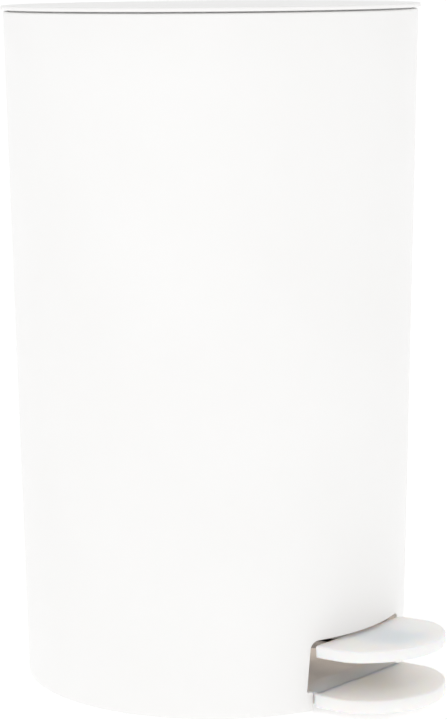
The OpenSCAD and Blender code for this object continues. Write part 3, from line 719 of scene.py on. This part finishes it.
cross_pin("hinge_pin_round", PIN_R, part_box("hinge_pin")[1].x, HINGE_Y, HINGE_Z, "housing", "hinge_pin")
cross_pin("pedal_axle_round", PIN_R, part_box("pedal_axle")[1].x, PIVOT_Y, PIVOT_Z, "housing", "pedal_axle")
cross_pin("bracket_pin_round", LINK_PIN_R, tail_high.x, TAIL_Y, TAIL_Z, "lid", "bracket_pin")
cross_pin("lever_pin_round", LINK_PIN_R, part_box("lever_pin")[1].x, ROD_Y, REAR_PIN_Z, "pedal", "lever_pin")
push_washers("axle_washers", PIN_R, POST_OUT + CLIP_GAP, PIVOT_Y, PIVOT_Z, "housing", "axle_clips")
push_washers("bracket_pin_washers", LINK_PIN_R, CHEEK_OUT + CLIP_GAP, TAIL_Y, TAIL_Z, "lid",
             "bracket_pin_clips")
push_washers("lever_pin_washers", LINK_PIN_R, CHEEK_OUT + CLIP_GAP, ROD_Y, REAR_PIN_Z, "pedal",
             "lever_pin_clips")


def hinge_caps():
    """The caps on the ends of the hinge pin, each with a pocket for it."""
    bm = bmesh.new()
    radius, deep = KNUCKLE_R - 0.4 * MM, 2.2 * MM
    bore, pocket = PIN_R + PRESS_GAP, 1.6 * MM
    profile = rounded([(bore, 0, 0), (radius, 0, 0.15 * MM), (radius, deep, 0.8 * MM), (0, deep, 0),
                       (0, pocket, 0), (bore, pocket, 0)], guard=0.2 * MM)
    for side in (1, -1):
        place = facing(side * (LUG_IN + LUG_WIDTH + 0.1 * MM), HINGE_Y, HINGE_Z, side)
        lathe(profile, SMALL_STEPS, place=place, bm=bm)
    return bm


finish_piece("hinge_caps_round", hinge_caps(), "housing", WHITE, "hinge_pin_caps")


# ---------------------------------------------------------------- base and foot plate
PLATE_REAR = FOOT_R - 4 * MM
NOSE_REACH = FOOT_R + 39 * MM
PLATE_TOP = 9.2 * MM
PLATE_THICK = 6.4 * MM
PLATE_SLOPE = math.radians(1.6)
TREAD_HALF = 33.9 * MM
TREAD_TOP = 32.3 * MM
TREAD_THICK = 5.7 * MM
TREAD_SLOPE = math.radians(2.8)
NOSE_EXTRA = 1.6 * MM
SHOULDER_R = 20 * MM
REAR_CORNER = 2 * MM


def nose_outline(half, depth):
    """Outline of the foot plate and the tread: a round nose, blended into straight sides."""
    nose_r = half + NOSE_EXTRA
    centre_y = nose_r - depth
    shoulder_x = half - SHOULDER_R
    rise = math.sqrt((nose_r - SHOULDER_R) ** 2 - shoulder_x ** 2)
    shoulder_y = centre_y - rise
    join = math.degrees(math.atan2(rise, shoulder_x))
    right = arc(half - REAR_CORNER, -REAR_CORNER, REAR_CORNER, 90, 0, 6)
    straight = [Vector((half, -REAR_CORNER + (shoulder_y + REAR_CORNER) * k / 5)) for k in range(1, 5)]
    shoulder = arc(shoulder_x, shoulder_y, SHOULDER_R, 0, -join, 8)
    nose = arc(0, centre_y, nose_r, -join, -90, 26)[1:]
    one_side = right + straight + shoulder + nose
    return one_side + [Vector((-p.x, p.y)) for p in reversed(one_side[:-1])]


def foot_plate():
    """The half-round plate that stands out under the tread, and the neck that carries it."""
    place = (Matrix.Translation((0, -PLATE_REAR, PLATE_TOP)) @ Matrix.Rotation(-PLATE_SLOPE, 4, "X")
             @ Matrix.Translation((0, 0, -PLATE_THICK)))
    bm = slab(nose_outline(PLATE_HALF, NOSE_REACH - PLATE_REAR), PLATE_THICK, 0.9 * MM, place=place)
    neck_half = PLATE_HALF - 3 * MM
    neck_z = BASE_LIFT + 0.2 * MM
    neck = rounded([(-neck_half, -PLATE_REAR - MM, 0), (neck_half, -PLATE_REAR - MM, 0),
                    (neck_half, -PLATE_REAR + 13 * MM, 0), (-neck_half, -PLATE_REAR + 13 * MM, 0)])
    slab(neck, PLATE_TOP - 0.2 * MM - neck_z, 0.4 * MM, place=Matrix.Translation((0, 0, neck_z)), bm=bm)
    return bm


def on_circle(radius, angle):
    return radius * math.cos(math.radians(angle)), radius * math.sin(math.radians(angle))


def base_disc():
    """The round base, with holes for its screws and pits for the rubber feet."""
    outline = arc(0, 0, inner_r(BASE_LIFT) - 0.4 * MM, 0, 360, 144)[:-1]
    holes = [(*on_circle(SCREW_CIRCLE, a), SCREW_R + 0.1 * MM) for a in SCREW_ANGLES]
    pits = [(ring(*on_circle(RUBBER_CIRCLE, a), RUBBER_R + 0.25 * MM, count=48), MM)
            for a in RUBBER_ANGLES]
    return slab(outline, BASE_THICK, 0.4 * MM, holes, Matrix.Translation((0, 0, BASE_LIFT)), pits=pits)


def axle_posts():
    """The two posts that carry the pedal's axle."""
    bm = bmesh.new()
    foot = BASE_TOP - BASE_THICK / 2
    points = [Vector((PIVOT_Y - HUB_R, foot)), Vector((PIVOT_Y + HUB_R, foot))]
    points += arc(PIVOT_Y, PIVOT_Z, HUB_R, 0, 180, 20)
    hole = [(PIVOT_Y, PIVOT_Z, PIN_R + RUNNING_GAP)]
    for x in (POST_IN, -POST_OUT):
        slab(points, POST_OUT - POST_IN, 0.4 * MM, hole, across(x), bm)
    return bm


for piece_name, maker, finish in (("foot_plate", foot_plate, TREAD), ("base_disc", base_disc, WHITE),
                                  ("axle_posts", axle_posts, WHITE)):
    finish_piece(piece_name, maker(), "housing", finish, "base_plate")


def base_screws():
    """The screws that hold the base to the posts."""
    bm = bmesh.new()
    for angle in SCREW_ANGLES:
        screw_at(bm, round_place(SCREW_CIRCLE, angle, BASE_LIFT), SCREW_R, BASE_THICK + 11 * MM)
    return bm


def rubber_feet():
    """Four pads, very slightly hollow underneath."""
    bm = bmesh.new()
    high, hollow = BASE_LIFT + MM, 0.05 * MM
    profile = rounded([(0, hollow, 0), (RUBBER_R - 2.2 * MM, hollow, 0.2 * MM),
                       (RUBBER_R - 1.8 * MM, 0, 0.1 * MM), (RUBBER_R, 0, 0.5 * MM),
                       (RUBBER_R, high, 0.2 * MM), (0, high, 0)], guard=0.1 * MM)
    for angle in RUBBER_ANGLES:
        lathe(profile, SMALL_STEPS, place=round_place(RUBBER_CIRCLE, angle), bm=bm)
    return bm


finish_piece("base_screws_round", base_screws(), "housing", STEEL_Z, "base_screws")
finish_piece("rubber_feet_round", rubber_feet(), "housing", RUBBER, "rubber_feet")


# ---------------------------------------------------------------- pedal
TREAD_PLACE = Matrix.Translation((0, -PLATE_REAR, TREAD_TOP)) @ Matrix.Rotation(-TREAD_SLOPE, 4, "X")
TONGUE_HALF = 10 * MM
TONGUE_FRONT = 32 * MM
TONGUE_THICK = 2.5 * MM
RIVET_PLACES = (14 * MM, 25 * MM)
RIVET_R = 2 * MM


def pedal_tread():
    """The tread, with a pocket underneath for the lever's tongue."""
    place = TREAD_PLACE @ Matrix.Translation((0, 0, -TREAD_THICK))
    half, front, back = TONGUE_HALF + 0.25 * MM, -TONGUE_FRONT - 0.25 * MM, -1.3 * MM
    pocket = rounded([(-half, front, 1.7 * MM), (half, front, 1.7 * MM), (half, back, 0), (-half, back, 0)],
                     guard=0)
    return slab(nose_outline(TREAD_HALF, NOSE_REACH - PLATE_REAR), TREAD_THICK, 0.9 * MM, place=place,
                pits=[(pocket, TONGUE_THICK)])


def lever_arm():
    """A folded steel lever: two side plates, a web between them, and a tongue in the tread."""
    bm = bmesh.new()
    top = Vector((2 * MM - PLATE_REAR, TREAD_TOP - TREAD_THICK + TONGUE_THICK - 0.2 * MM))
    points = [top - Vector((0, TONGUE_THICK))]
    points += arc(PIVOT_Y, PIVOT_Z, HUB_R, -107, -90, 4)
    points += arc(ROD_Y, REAR_PIN_Z, EYE_R, -90, 90, 15)
    points += [Vector((PIVOT_Y, PIVOT_Z + HUB_R)), top]
    holes = [(PIVOT_Y, PIVOT_Z, PIN_R + RUNNING_GAP), (ROD_Y, REAR_PIN_Z, LINK_PIN_R + RUNNING_GAP)]
    for x in (CHEEK_IN, -CHEEK_OUT):
        slab(points, CHEEK, 0.25 * MM, holes, across(x), bm)
    web = Vector((0, 2 * MM))
    back_gap = 16 * MM
    slope = (PIVOT_Z + HUB_R - REAR_PIN_Z - EYE_R) / (ROD_Y - PIVOT_Y)
    middle = Vector((PIVOT_Y, PIVOT_Z + HUB_R))
    back = Vector((ROD_Y - back_gap, REAR_PIN_Z + EYE_R + back_gap * slope))
    outline = [top - web, middle - web, back - web, back, middle, top]
    slab(outline, 2 * CHEEK_OUT, 0.15 * MM, place=across(-CHEEK_OUT), bm=bm)
    tongue = rounded([(-TONGUE_HALF, -TONGUE_FRONT, 1.5 * MM), (TONGUE_HALF, -TONGUE_FRONT, 1.5 * MM),
                      (TONGUE_HALF, 4 * MM, 0.4 * MM), (-TONGUE_HALF, 4 * MM, 0.4 * MM)])
    slab(tongue, TONGUE_THICK - 0.1 * MM, 0.2 * MM, bm=bm,
         place=TREAD_PLACE @ Matrix.Translation((0, 0, -TREAD_THICK - 0.04 * MM)))
    return bm


def tread_rivets():
    """The rivets that hold the tread on the lever's tongue."""
    bm = bmesh.new()
    head, head_r = 0.9 * MM, RIVET_R + 1.4 * MM
    profile = rounded([(0, -head, 0), (head_r, -head, 0.7 * MM), (head_r, 0, 0.05 * MM), (RIVET_R, 0, 0),
                       (RIVET_R, MM, 0), (0, MM, 0)], guard=0.1 * MM)
    for place in RIVET_PLACES:
        lathe(profile, 36, place=TREAD_PLACE @ Matrix.Translation((0, -place, -TREAD_THICK)), bm=bm)
    return bm


finish_piece("tread", pedal_tread(), "pedal", TREAD, "pedal_tread")
finish_piece("lever", lever_arm(), "pedal", ZINC, "lever_arm")
finish_piece("rivets", tread_rivets(), "pedal", STEEL_Z, "tread_rivets")


# ---------------------------------------------------------------- lid
LID_R = RIM_R + 1.2 * MM
LID_BOTTOM = RIM_Z + 0.7 * MM
LID_SHOULDER = LID_BOTTOM + 2 * MM
LID_CROWN = MM
LID_THICK = 2 * MM
LIP_R = inner_r(RIM_Z) - 1.1 * MM
LIP_THICK = 1.6 * MM
LIP_DEPTH = 5.6 * MM
SMALL_SCREW_R = SCREW_R - 0.3 * MM
BRACKET_SCREW_X = CHEEK_OUT + SCREW_HEAD * SMALL_SCREW_R + SIDE_GAP
BRACKET_BOSS_R = 3.4 * MM
BRACKET_HALF = BRACKET_SCREW_X + BRACKET_BOSS_R
BRACKET_FRONT = TAIL_Y - 30 * MM
BRACKET_BACK = TAIL_Y - 11 * MM
BRACKET_SCREW_Y = (BRACKET_FRONT + BRACKET_BACK) / 2
BRACKET_TOP = LID_BOTTOM - 3 * MM
BRACKET_THICK = 2 * MM
BRACKET_EYE = LINK_PIN_R + 2.4 * MM


def crown_z(r):
    return LID_SHOULDER + LID_CROWN * (1 - (r / LID_R) ** 2)


def lid_disc():
    """The crowned disc: its edge is rounded above and below."""
    rim = rounded([(LIP_R - 0.8 * MM, LID_BOTTOM, 0), (LID_R, LID_BOTTOM, 0.5 * MM),
                   (LID_R, crown_z(LID_R), 0.8 * MM), (LID_R - 2 * MM, crown_z(LID_R - 2 * MM), 0)],
                  segments=6, closed=False)
    top = [Vector((r, crown_z(r))) for r in [(LID_R - 3 * MM) * (1 - k / 12) for k in range(13)]]
    inner_edge = LIP_R - LIP_THICK
    under = [Vector((r, crown_z(r) - LID_THICK)) for r in [inner_edge * k / 8 for k in range(9)]]
    return lathe(rim + top + under, 144)


def locating_ring():
    """The ring under the lid, left out where the bracket and the rod pass."""
    cut = math.degrees(math.asin((BRACKET_HALF + 2 * MM) / LIP_R))
    soft = 0.35 * MM
    inner, low = LIP_R - LIP_THICK, LID_BOTTOM - LIP_DEPTH
    profile = rounded([(inner, low, soft), (LIP_R, low, soft), (LIP_R, LID_BOTTOM + 0.4 * MM, 0),
                       (inner, LID_BOTTOM + 0.9 * MM, 0)])
    return lathe(profile, 136, 90 + cut, 360 - 2 * cut)


def lid_knuckle():
    """The knuckle that turns on the hinge pin, and its web to the lid."""
    inside = LID_R - 5 * MM
    reach, top = 0.4 * MM, LID_SHOULDER - 0.1 * MM
    points = [Vector((inside, LID_BOTTOM)), Vector((LID_R + reach, LID_BOTTOM))]
    points += arc(HINGE_Y, HINGE_Z, KNUCKLE_R, 154, 428, 26)
    points += [Vector((LID_R - reach, top)), Vector((inside, top))]
    return slab(points, 2 * KNUCKLE_HALF, 0.4 * MM, [(HINGE_Y, HINGE_Z, PIN_R + RUNNING_GAP)],
                across(-KNUCKLE_HALF))


def lid_bosses():
    """The two bosses that the bracket is screwed to."""
    bm = bmesh.new()
    high = LID_SHOULDER - LID_THICK / 2
    profile = rounded([(SMALL_SCREW_R, BRACKET_TOP, 0), (BRACKET_BOSS_R, BRACKET_TOP, 0.3 * MM),
                       (BRACKET_BOSS_R, high, 0), (SMALL_SCREW_R, high, 0)])
    for side in (1, -1):
        place = Matrix.Translation((side * BRACKET_SCREW_X, BRACKET_SCREW_Y, 0))
        lathe(profile, SMALL_STEPS, place=place, bm=bm)
    return bm


def lid_bracket():
    """A folded steel bracket: a screwed plate and two side plates that hold the pin."""
    bm = bmesh.new()
    low = BRACKET_TOP - BRACKET_THICK
    corner = 1.5 * MM
    outline = rounded([(-BRACKET_HALF, BRACKET_FRONT, corner), (BRACKET_HALF, BRACKET_FRONT, corner),
                       (BRACKET_HALF, BRACKET_BACK, corner), (-BRACKET_HALF, BRACKET_BACK, corner)])
    holes = [(side * BRACKET_SCREW_X, BRACKET_SCREW_Y, SMALL_SCREW_R + 0.1 * MM) for side in (1, -1)]
    slab(outline, BRACKET_THICK, 0.25 * MM, holes, Matrix.Translation((0, 0, low)), bm)
    front = BRACKET_FRONT + 0.6 * MM
    points = [Vector((front, low + 0.05 * MM))]
    points += arc(TAIL_Y, TAIL_Z, BRACKET_EYE, 250, 360, 14)
    points += [Vector((TAIL_Y + BRACKET_EYE - 2 * MM, BRACKET_TOP - 0.05 * MM)),
               Vector((front, BRACKET_TOP - 0.05 * MM))]
    for x in (CHEEK_IN, -CHEEK_OUT):
        slab(points, CHEEK, 0.25 * MM, [(TAIL_Y, TAIL_Z, LINK_PIN_R + RUNNING_GAP)], across(x), bm)
    return bm


def bracket_screws():
    """The screws that hold the bracket to the lid's bosses."""
    bm = bmesh.new()
    for side in (1, -1):
        place = Matrix.Translation((side * BRACKET_SCREW_X, BRACKET_SCREW_Y, BRACKET_TOP - BRACKET_THICK))
        screw_at(bm, place, SMALL_SCREW_R, BRACKET_THICK + 3 * MM)
    return bm


for piece_name, maker in (("lid_disc", lid_disc), ("lid_locating_ring", locating_ring),
                          ("lid_knuckle", lid_knuckle), ("lid_bosses", lid_bosses)):
    finish_piece(piece_name, maker(), "lid", WHITE, "lid")
finish_piece("bracket", lid_bracket(), "lid", ZINC, "lid_bracket")
finish_piece("bracket_screws_round", bracket_screws(), "lid", STEEL_Z, "bracket_screws")


# ---------------------------------------------------------------- lift rod
SLEEVE_R = ROD_R + 1.5 * MM
SLEEVE_LENGTH = 11 * MM
LINK_HALF = CHEEK_IN - SIDE_GAP - 0.4 * MM
LID_SWING = math.radians(75)
PEDAL_SWING = math.radians(10)
REAR_ARM = ROD_Y - PIVOT_Y
ARM_DROP = math.atan((PIVOT_Z - REAR_PIN_Z) / REAR_ARM)
ARM_LENGTH = REAR_ARM / math.cos(ARM_DROP)
ROD_RISE = ARM_LENGTH * (math.sin(PEDAL_SWING - ARM_DROP) + math.sin(ARM_DROP))
FOOT_BLOCK_HALF = EYE_R + 0.2 * MM


def sleeve(bm, low, high):
    """The round sleeve of an end fitting, bored for the rod."""
    bore = ROD_R + PRESS_GAP
    profile = rounded([(bore, low, 0.1 * MM), (SLEEVE_R, low, 0.3 * MM), (SLEEVE_R, high, 0.3 * MM),
                       (bore, high, 0.1 * MM)], guard=0.2 * MM)
    lathe(profile, SMALL_STEPS, place=Matrix.Translation((0, ROD_Y, 0)), bm=bm)


def block(bm, front, back, low, high, hole):
    """A moulded block across the link, with a slot for its pin."""
    corner = 0.8 * MM
    outline = rounded([(front, low, corner), (back, low, corner), (back, high, corner),
                       (front, high, corner)])
    slab(outline, 2 * LINK_HALF, 0.5 * MM, [hole], across(-LINK_HALF), bm)


def rod_head():
    """Upper end of the rod: its slot takes the bracket's pin."""
    bm = bmesh.new()
    tail_r = ROD_RISE / (2 * math.sin(LID_SWING / 2))
    play = 0.4 * MM
    slot_r = LINK_PIN_R + 0.45 * MM
    slot_front, slot_back = HINGE_Y - tail_r - play, TAIL_Y + play
    half_height = slot_r + 3.3 * MM
    low = TAIL_Z - half_height
    wall = 2 * MM
    front = min(ROD_Y - SLEEVE_R, slot_front - slot_r - wall)
    back = min(slot_back + slot_r + wall, math.sqrt(inner_r(low) ** 2 - LINK_HALF ** 2) - SIDE_GAP)
    block(bm, front, back, low, TAIL_Z + half_height, (slot_front, TAIL_Z, slot_r, slot_back - slot_front))
    sleeve(bm, low - SLEEVE_LENGTH, low + MM)
    return bm


def rod_foot():
    """Lower end of the rod: its slot takes the lever's pin."""
    bm = bmesh.new()
    gap = 0.3 * MM
    slot_front = ROD_Y - ARM_LENGTH * (1 - math.cos(PEDAL_SWING - ARM_DROP))
    slot_back = ROD_Y + ARM_LENGTH - REAR_ARM + gap
    low, high = REAR_PIN_Z - FOOT_BLOCK_HALF, REAR_PIN_Z + FOOT_BLOCK_HALF + MM
    block(bm, ROD_Y - FOOT_BLOCK_HALF - 0.6 * MM, ROD_Y + FOOT_BLOCK_HALF, low, high,
          (slot_front, REAR_PIN_Z, LINK_PIN_R + gap, slot_back - slot_front))
    sleeve(bm, high - MM, high + SLEEVE_LENGTH)
    return bm


def lift_rod():
    """The steel rod between its two end fittings."""
    profile = pin_profile(ROD_R, rod_high.z - rod_low.z)
    return lathe(profile, 36, place=Matrix.Translation((0, ROD_Y, rod_low.z)))


def rod_guides():
    """Two nylon blocks that the rod slides in, curved behind to fit the wall."""
    bm = bmesh.new()
    gap = 0.1 * MM
    for level in GUIDE_LEVELS:
        low = level - GUIDE_HEIGHT / 2
        back_r = inner_r(low) - gap
        lean = math.degrees(math.asin(GUIDE_HALF / back_r))
        inner = ROD_Y - ROD_R - 1.6 * MM
        front = rounded([(-GUIDE_HALF, inner + 3 * MM, 0), (-GUIDE_HALF, inner, MM), (GUIDE_HALF, inner, MM),
                         (GUIDE_HALF, inner + 3 * MM, 0)], closed=False, guard=0)
        outline = front + arc(0, 0, back_r, 90 - lean, 90 + lean, 8)
        slab(outline, GUIDE_HEIGHT, 0.4 * MM, [(0, ROD_Y, ROD_R + RUNNING_GAP)],
             Matrix.Translation((0, 0, low)), bm)
    return bm


finish_piece("rod_round", lift_rod(), "rod", STEEL_Z, "lift_rod")
finish_piece("rod_upper_end", rod_head(), "rod", NYLON, "rod_head")
finish_piece("rod_lower_end", rod_foot(), "rod", NYLON, "rod_foot")
finish_piece("rod_guide_blocks", rod_guides(), "housing", NYLON, "rod_guides")


# ---------------------------------------------------------------- bucket and handle
BUCKET_FLOOR = REAR_PIN_Z + ROD_RISE + EYE_R + 12.8 * MM
BUCKET_TOP_R = ROD_Y - SLEEVE_R - MM
BUCKET_LOW_R = BUCKET_TOP_R - 8 * MM
BUCKET_WALL = 1.6 * MM
BUCKET_TAPER = (BUCKET_TOP_R - BUCKET_LOW_R) / (FLANGE_Z - BUCKET_FLOOR)
HANDLE_Z = FLANGE_TOP + 5 * MM
WIRE_R = 1.5 * MM
BAIL_R = FLANGE_R - 4.5 * MM
EAR_OUT = BAIL_R - WIRE_R - SIDE_GAP
EAR_THICK = 3 * MM
EAR_R = 5 * MM
GRIP_R = 4.5 * MM
GRIP_ANGLE = 42


def bucket_wall():
    """The tapered bucket, round at the foot inside and outside."""
    inner_floor = BUCKET_FLOOR + BUCKET_WALL + 0.4 * MM
    inner_low = BUCKET_LOW_R - BUCKET_WALL + BUCKET_TAPER * (inner_floor - BUCKET_FLOOR)
    mouth = BUCKET_TOP_R - BUCKET_WALL + 0.4 * MM
    soft = 0.4 * MM
    profile = rounded([(0, BUCKET_FLOOR, 0), (BUCKET_LOW_R, BUCKET_FLOOR, 5 * MM),
                       (BUCKET_TOP_R, FLANGE_Z, 0), (BUCKET_TOP_R, FLANGE_TOP, 0), (mouth, FLANGE_TOP, soft),
                       (inner_low, inner_floor, 4 * MM), (0, inner_floor, 0)], segments=8)
    return lathe(profile, 144)


def bucket_flange():
    """The flange that rests in the shell, with a notch for the rod's upper end."""
    half, notch_y = BRACKET_HALF, BUCKET_TOP_R + 0.2 * MM
    edge_y = math.sqrt(FLANGE_R ** 2 - half ** 2)
    open_angle = math.degrees(math.asin(half / FLANGE_R)) + 3
    rim = arc(0, 0, FLANGE_R, 90 + open_angle, 450 - open_angle, 130)
    corners = [(p.x, p.y, 0) for p in rim]
    corners += [(half, edge_y, 1.2 * MM), (half, notch_y, 1.5 * MM), (-half, notch_y, 1.5 * MM),
                (-half, edge_y, 1.2 * MM)]
    outline = rounded(corners, guard=0)
    bore = BUCKET_TOP_R - 0.5 * MM
    return slab(outline, FLANGE_THICK - 0.02 * MM, 0.7 * MM, [(0, 0, bore)],
                Matrix.Translation((0, 0, FLANGE_Z)))


def bucket_ears():
    """The two ears that the handle's wire hooks into."""
    bm = bmesh.new()
    foot = FLANGE_TOP - MM
    points = [Vector((-EAR_R - MM, foot)), Vector((EAR_R + MM, foot)), Vector((EAR_R, FLANGE_TOP + MM))]
    points += arc(0, HANDLE_Z, EAR_R, 0, 180, 20)
    points += [Vector((-EAR_R, FLANGE_TOP + MM))]
    for x in (EAR_OUT - EAR_THICK, -EAR_OUT):
        slab(points, EAR_THICK, 0.5 * MM, [(0, HANDLE_Z, WIRE_R + RUNNING_GAP)], across(x), bm)
    return bm


def handle_wire():
    """The wire bail: a half circle whose ends turn in through the ears."""
    bend = 2 * MM
    hook = EAR_OUT - EAR_THICK - 2 * MM
    right = [Vector((hook, 0)), Vector((hook + 2 * MM, 0)), Vector((BAIL_R - bend - MM, 0))]
    right += arc(BAIL_R - bend, -bend, bend, 90, 5, 7)
    start = math.degrees(math.asin(2.6 * bend / BAIL_R))
    bail = arc(0, 0, BAIL_R, -start, start - 180, 90)
    flat = right + bail + [Vector((-p.x, p.y)) for p in reversed(right)]
    return sweep_tube([Vector((p.x, p.y, HANDLE_Z)) for p in flat], WIRE_R, 24)


def handle_grip():
    """The grip: a round moulded sleeve on the wire, with shallow finger rings."""
    bm = bmesh.new()
    steps, sides = 84, 32
    soft = 1.2 * MM
    grooves, groove_depth, grooved_share = 6, 0.22 * MM, 0.72
    bore = WIRE_R + RUNNING_GAP
    half_length = BAIL_R * math.radians(GRIP_ANGLE) / 2
    places = [(-1, bore)]
    for k in range(steps + 1):
        along = abs(2 * k / steps - 1)
        left = (1 - along) * half_length
        radius = GRIP_R
        if left < soft:
            radius -= soft - math.sqrt(soft ** 2 - (soft - left) ** 2)
        elif along < grooved_share:
            wave = 2 * math.pi * grooves * (along + grooved_share) / (2 * grooved_share)
            radius -= groove_depth * (1 - math.cos(wave)) / 2
        places.append((2 * k / steps - 1, radius))
    places.append((1, bore))
    loops = []
    for share, radius in places:
        angle = math.radians(-90 + share * GRIP_ANGLE / 2)
        out = Vector((math.cos(angle), math.sin(angle), 0))
        centre = out * BAIL_R + Vector((0, 0, HANDLE_Z))
        loops.append([bm.verts.new(centre + out * (radius * math.cos(2 * math.pi * j / sides))
                                   + Vector((0, 0, radius * math.sin(2 * math.pi * j / sides))))
                      for j in range(sides)])
    for low, high in zip(loops, loops[1:] + loops[:1]):
        bridge(bm, low, high)
    return bm


for piece_name, maker in (("bucket_wall", bucket_wall), ("bucket_flange", bucket_flange),
                          ("bucket_ears", bucket_ears)):
    finish_piece(piece_name, maker(), "bucket", GREY, "inner_bucket")
finish_piece("handle_wire", handle_wire(), "handle", STEEL_X, "bucket_handle")
finish_piece("grip", handle_grip(), "handle", GREY, "handle_grip")


# ---------------------------------------------------------------- camera, light and floor
CAMERA_SENSOR = 36.0
CAMERA_LENS = 118.38
CAMERA_TURN = math.radians(-49.2)
CAMERA_YAW, CAMERA_PITCH, CAMERA_ROLL = 0.0043, math.radians(9.447), -0.0078
CAMERA_PLACE = (0, -1154.77 * MM, 346.48 * MM)
SKY_LOW = 1.03
SKY_HIGH = 0.7
KEY_POWER = 3
KEY_PLACE, KEY_TARGET, KEY_SIZE = (-1.6, -1.2, 1.3), (0, 0, 0.18), (1.2, 1.2)
GLOW_POWER = 0.12
GLOW_HEIGHT = 36 * MM
GLOW_RADIUS = 30 * MM
GLOW_COLOR = (1.0, 0.86, 0.74)
DIM_SIDE = (math.cos(CAMERA_TURN), math.sin(CAMERA_TURN), 0)
SIDE_LEVEL = 0.94
FLOOR_GLOW = 0.3
FLOOR_REACH = 40


def camera():
    """The camera at the photograph's place: 49 degrees to the left of the front, from a little above."""
    data = bpy.data.cameras.new("camera")
    data.sensor_fit = "AUTO"
    data.sensor_width = CAMERA_SENSOR
    data.lens = CAMERA_LENS
    data.clip_start, data.clip_end = 0.05, 30
    seen = bpy.data.objects.new("camera", data)
    bpy.context.scene.collection.objects.link(seen)
    turn = Matrix.Rotation(CAMERA_TURN, 3, "Z")
    yaw, pitch, roll = CAMERA_YAW, CAMERA_PITCH, CAMERA_ROLL
    forward = Vector((math.sin(yaw) * math.cos(pitch), math.cos(yaw) * math.cos(pitch), -math.sin(pitch)))
    right = Vector((math.cos(yaw), -math.sin(yaw), 0))
    up = right.cross(forward)
    right, up = (right * math.cos(roll) + up * math.sin(roll),
                 up * math.cos(roll) - right * math.sin(roll))
    axes = Matrix((turn @ right, turn @ up, turn @ -forward)).transposed()
    place = turn @ Vector(CAMERA_PLACE)
    seen.matrix_world = Matrix.Translation(place) @ axes.to_4x4()
    bpy.context.scene.camera = seen


def add_light(name, kind, place, power):
    data = bpy.data.lights.new(name, kind)
    data.energy = power
    light = bpy.data.objects.new(name, data)
    light.location = place
    bpy.context.scene.collection.objects.link(light)
    return light


def key_light():
    """A large soft light from the front left."""
    light = add_light("key", "AREA", KEY_PLACE, KEY_POWER)
    light.data.shape = "RECTANGLE"
    light.data.size, light.data.size_y = KEY_SIZE
    aim = Vector(KEY_TARGET) - Vector(KEY_PLACE)
    light.rotation_euler = aim.to_track_quat("-Z", "Y").to_euler()


def inner_glow():
    """A weak warm light inside the shell, for the light that its thin white wall lets through."""
    light = add_light("inner_glow", "POINT", (0, 0, GLOW_HEIGHT), GLOW_POWER)
    light.data.color = GLOW_COLOR
    light.data.shadow_soft_size = GLOW_RADIUS


def sky():
    """A white studio: brightest around the horizon, dimmer overhead and a little towards
    DIM_SIDE, a direction fixed in the world."""
    world = bpy.data.worlds.new("studio")
    bpy.context.scene.world = world
    world.use_nodes = True
    nodes, links = world.node_tree.nodes, world.node_tree.links
    place = nodes.new("ShaderNodeTexCoord")
    split = nodes.new("ShaderNodeSeparateXYZ")
    level = nodes.new("ShaderNodeMapRange")
    level.inputs["From Min"].default_value = 0.0
    level.inputs["From Max"].default_value = 1.0
    level.inputs["To Min"].default_value = SKY_LOW
    level.inputs["To Max"].default_value = SKY_HIGH
    links.new(place.outputs["Generated"], split.inputs["Vector"])
    links.new(split.outputs["Z"], level.inputs["Value"])
    aside = nodes.new("ShaderNodeVectorMath")
    aside.operation = "DOT_PRODUCT"
    aside.inputs[1].default_value = DIM_SIDE
    links.new(place.outputs["Generated"], aside.inputs[0])
    dimmer = nodes.new("ShaderNodeMapRange")
    dimmer.inputs["To Min"].default_value = 1.0
    dimmer.inputs["To Max"].default_value = SIDE_LEVEL
    links.new(aside.outputs["Value"], dimmer.inputs["Value"])
    both = nodes.new("ShaderNodeMath")
    both.operation = "MULTIPLY"
    links.new(level.outputs["Result"], both.inputs[0])
    links.new(dimmer.outputs["Result"], both.inputs[1])
    links.new(both.outputs["Value"], nodes["Background"].inputs["Strength"])
    nodes["Background"].inputs["Color"].default_value = (1, 1, 1, 1)


def studio():
    """The sky, the lights and a plain pale floor."""
    sky()
    key_light()
    inner_glow()
    bm = bmesh.new()
    corners = [bm.verts.new((x * FLOOR_REACH, y * FLOOR_REACH, 0))
               for x, y in ((-1, -1), (1, -1), (1, 1), (-1, 1))]
    bm.faces.new(corners)
    mesh = bpy.data.meshes.new("floor")
    bm.to_mesh(mesh)
    bm.free()
    floor_material, shader = material_base("floor", (0.93, 0.93, 0.93), 0.6)
    vary_color(floor_material, shader, noise(floor_material, 3, 2), (0.92, 0.92, 0.92), (0.94, 0.94, 0.94))
    shader.inputs["Emission Color"].default_value = (1, 1, 1, 1)
    shader.inputs["Emission Strength"].default_value = FLOOR_GLOW
    mesh.materials.append(floor_material)
    floor = bpy.data.objects.new("floor", mesh)
    bpy.context.scene.collection.objects.link(floor)


camera()
studio()
bpy.context.scene.view_settings.view_transform = "Standard"
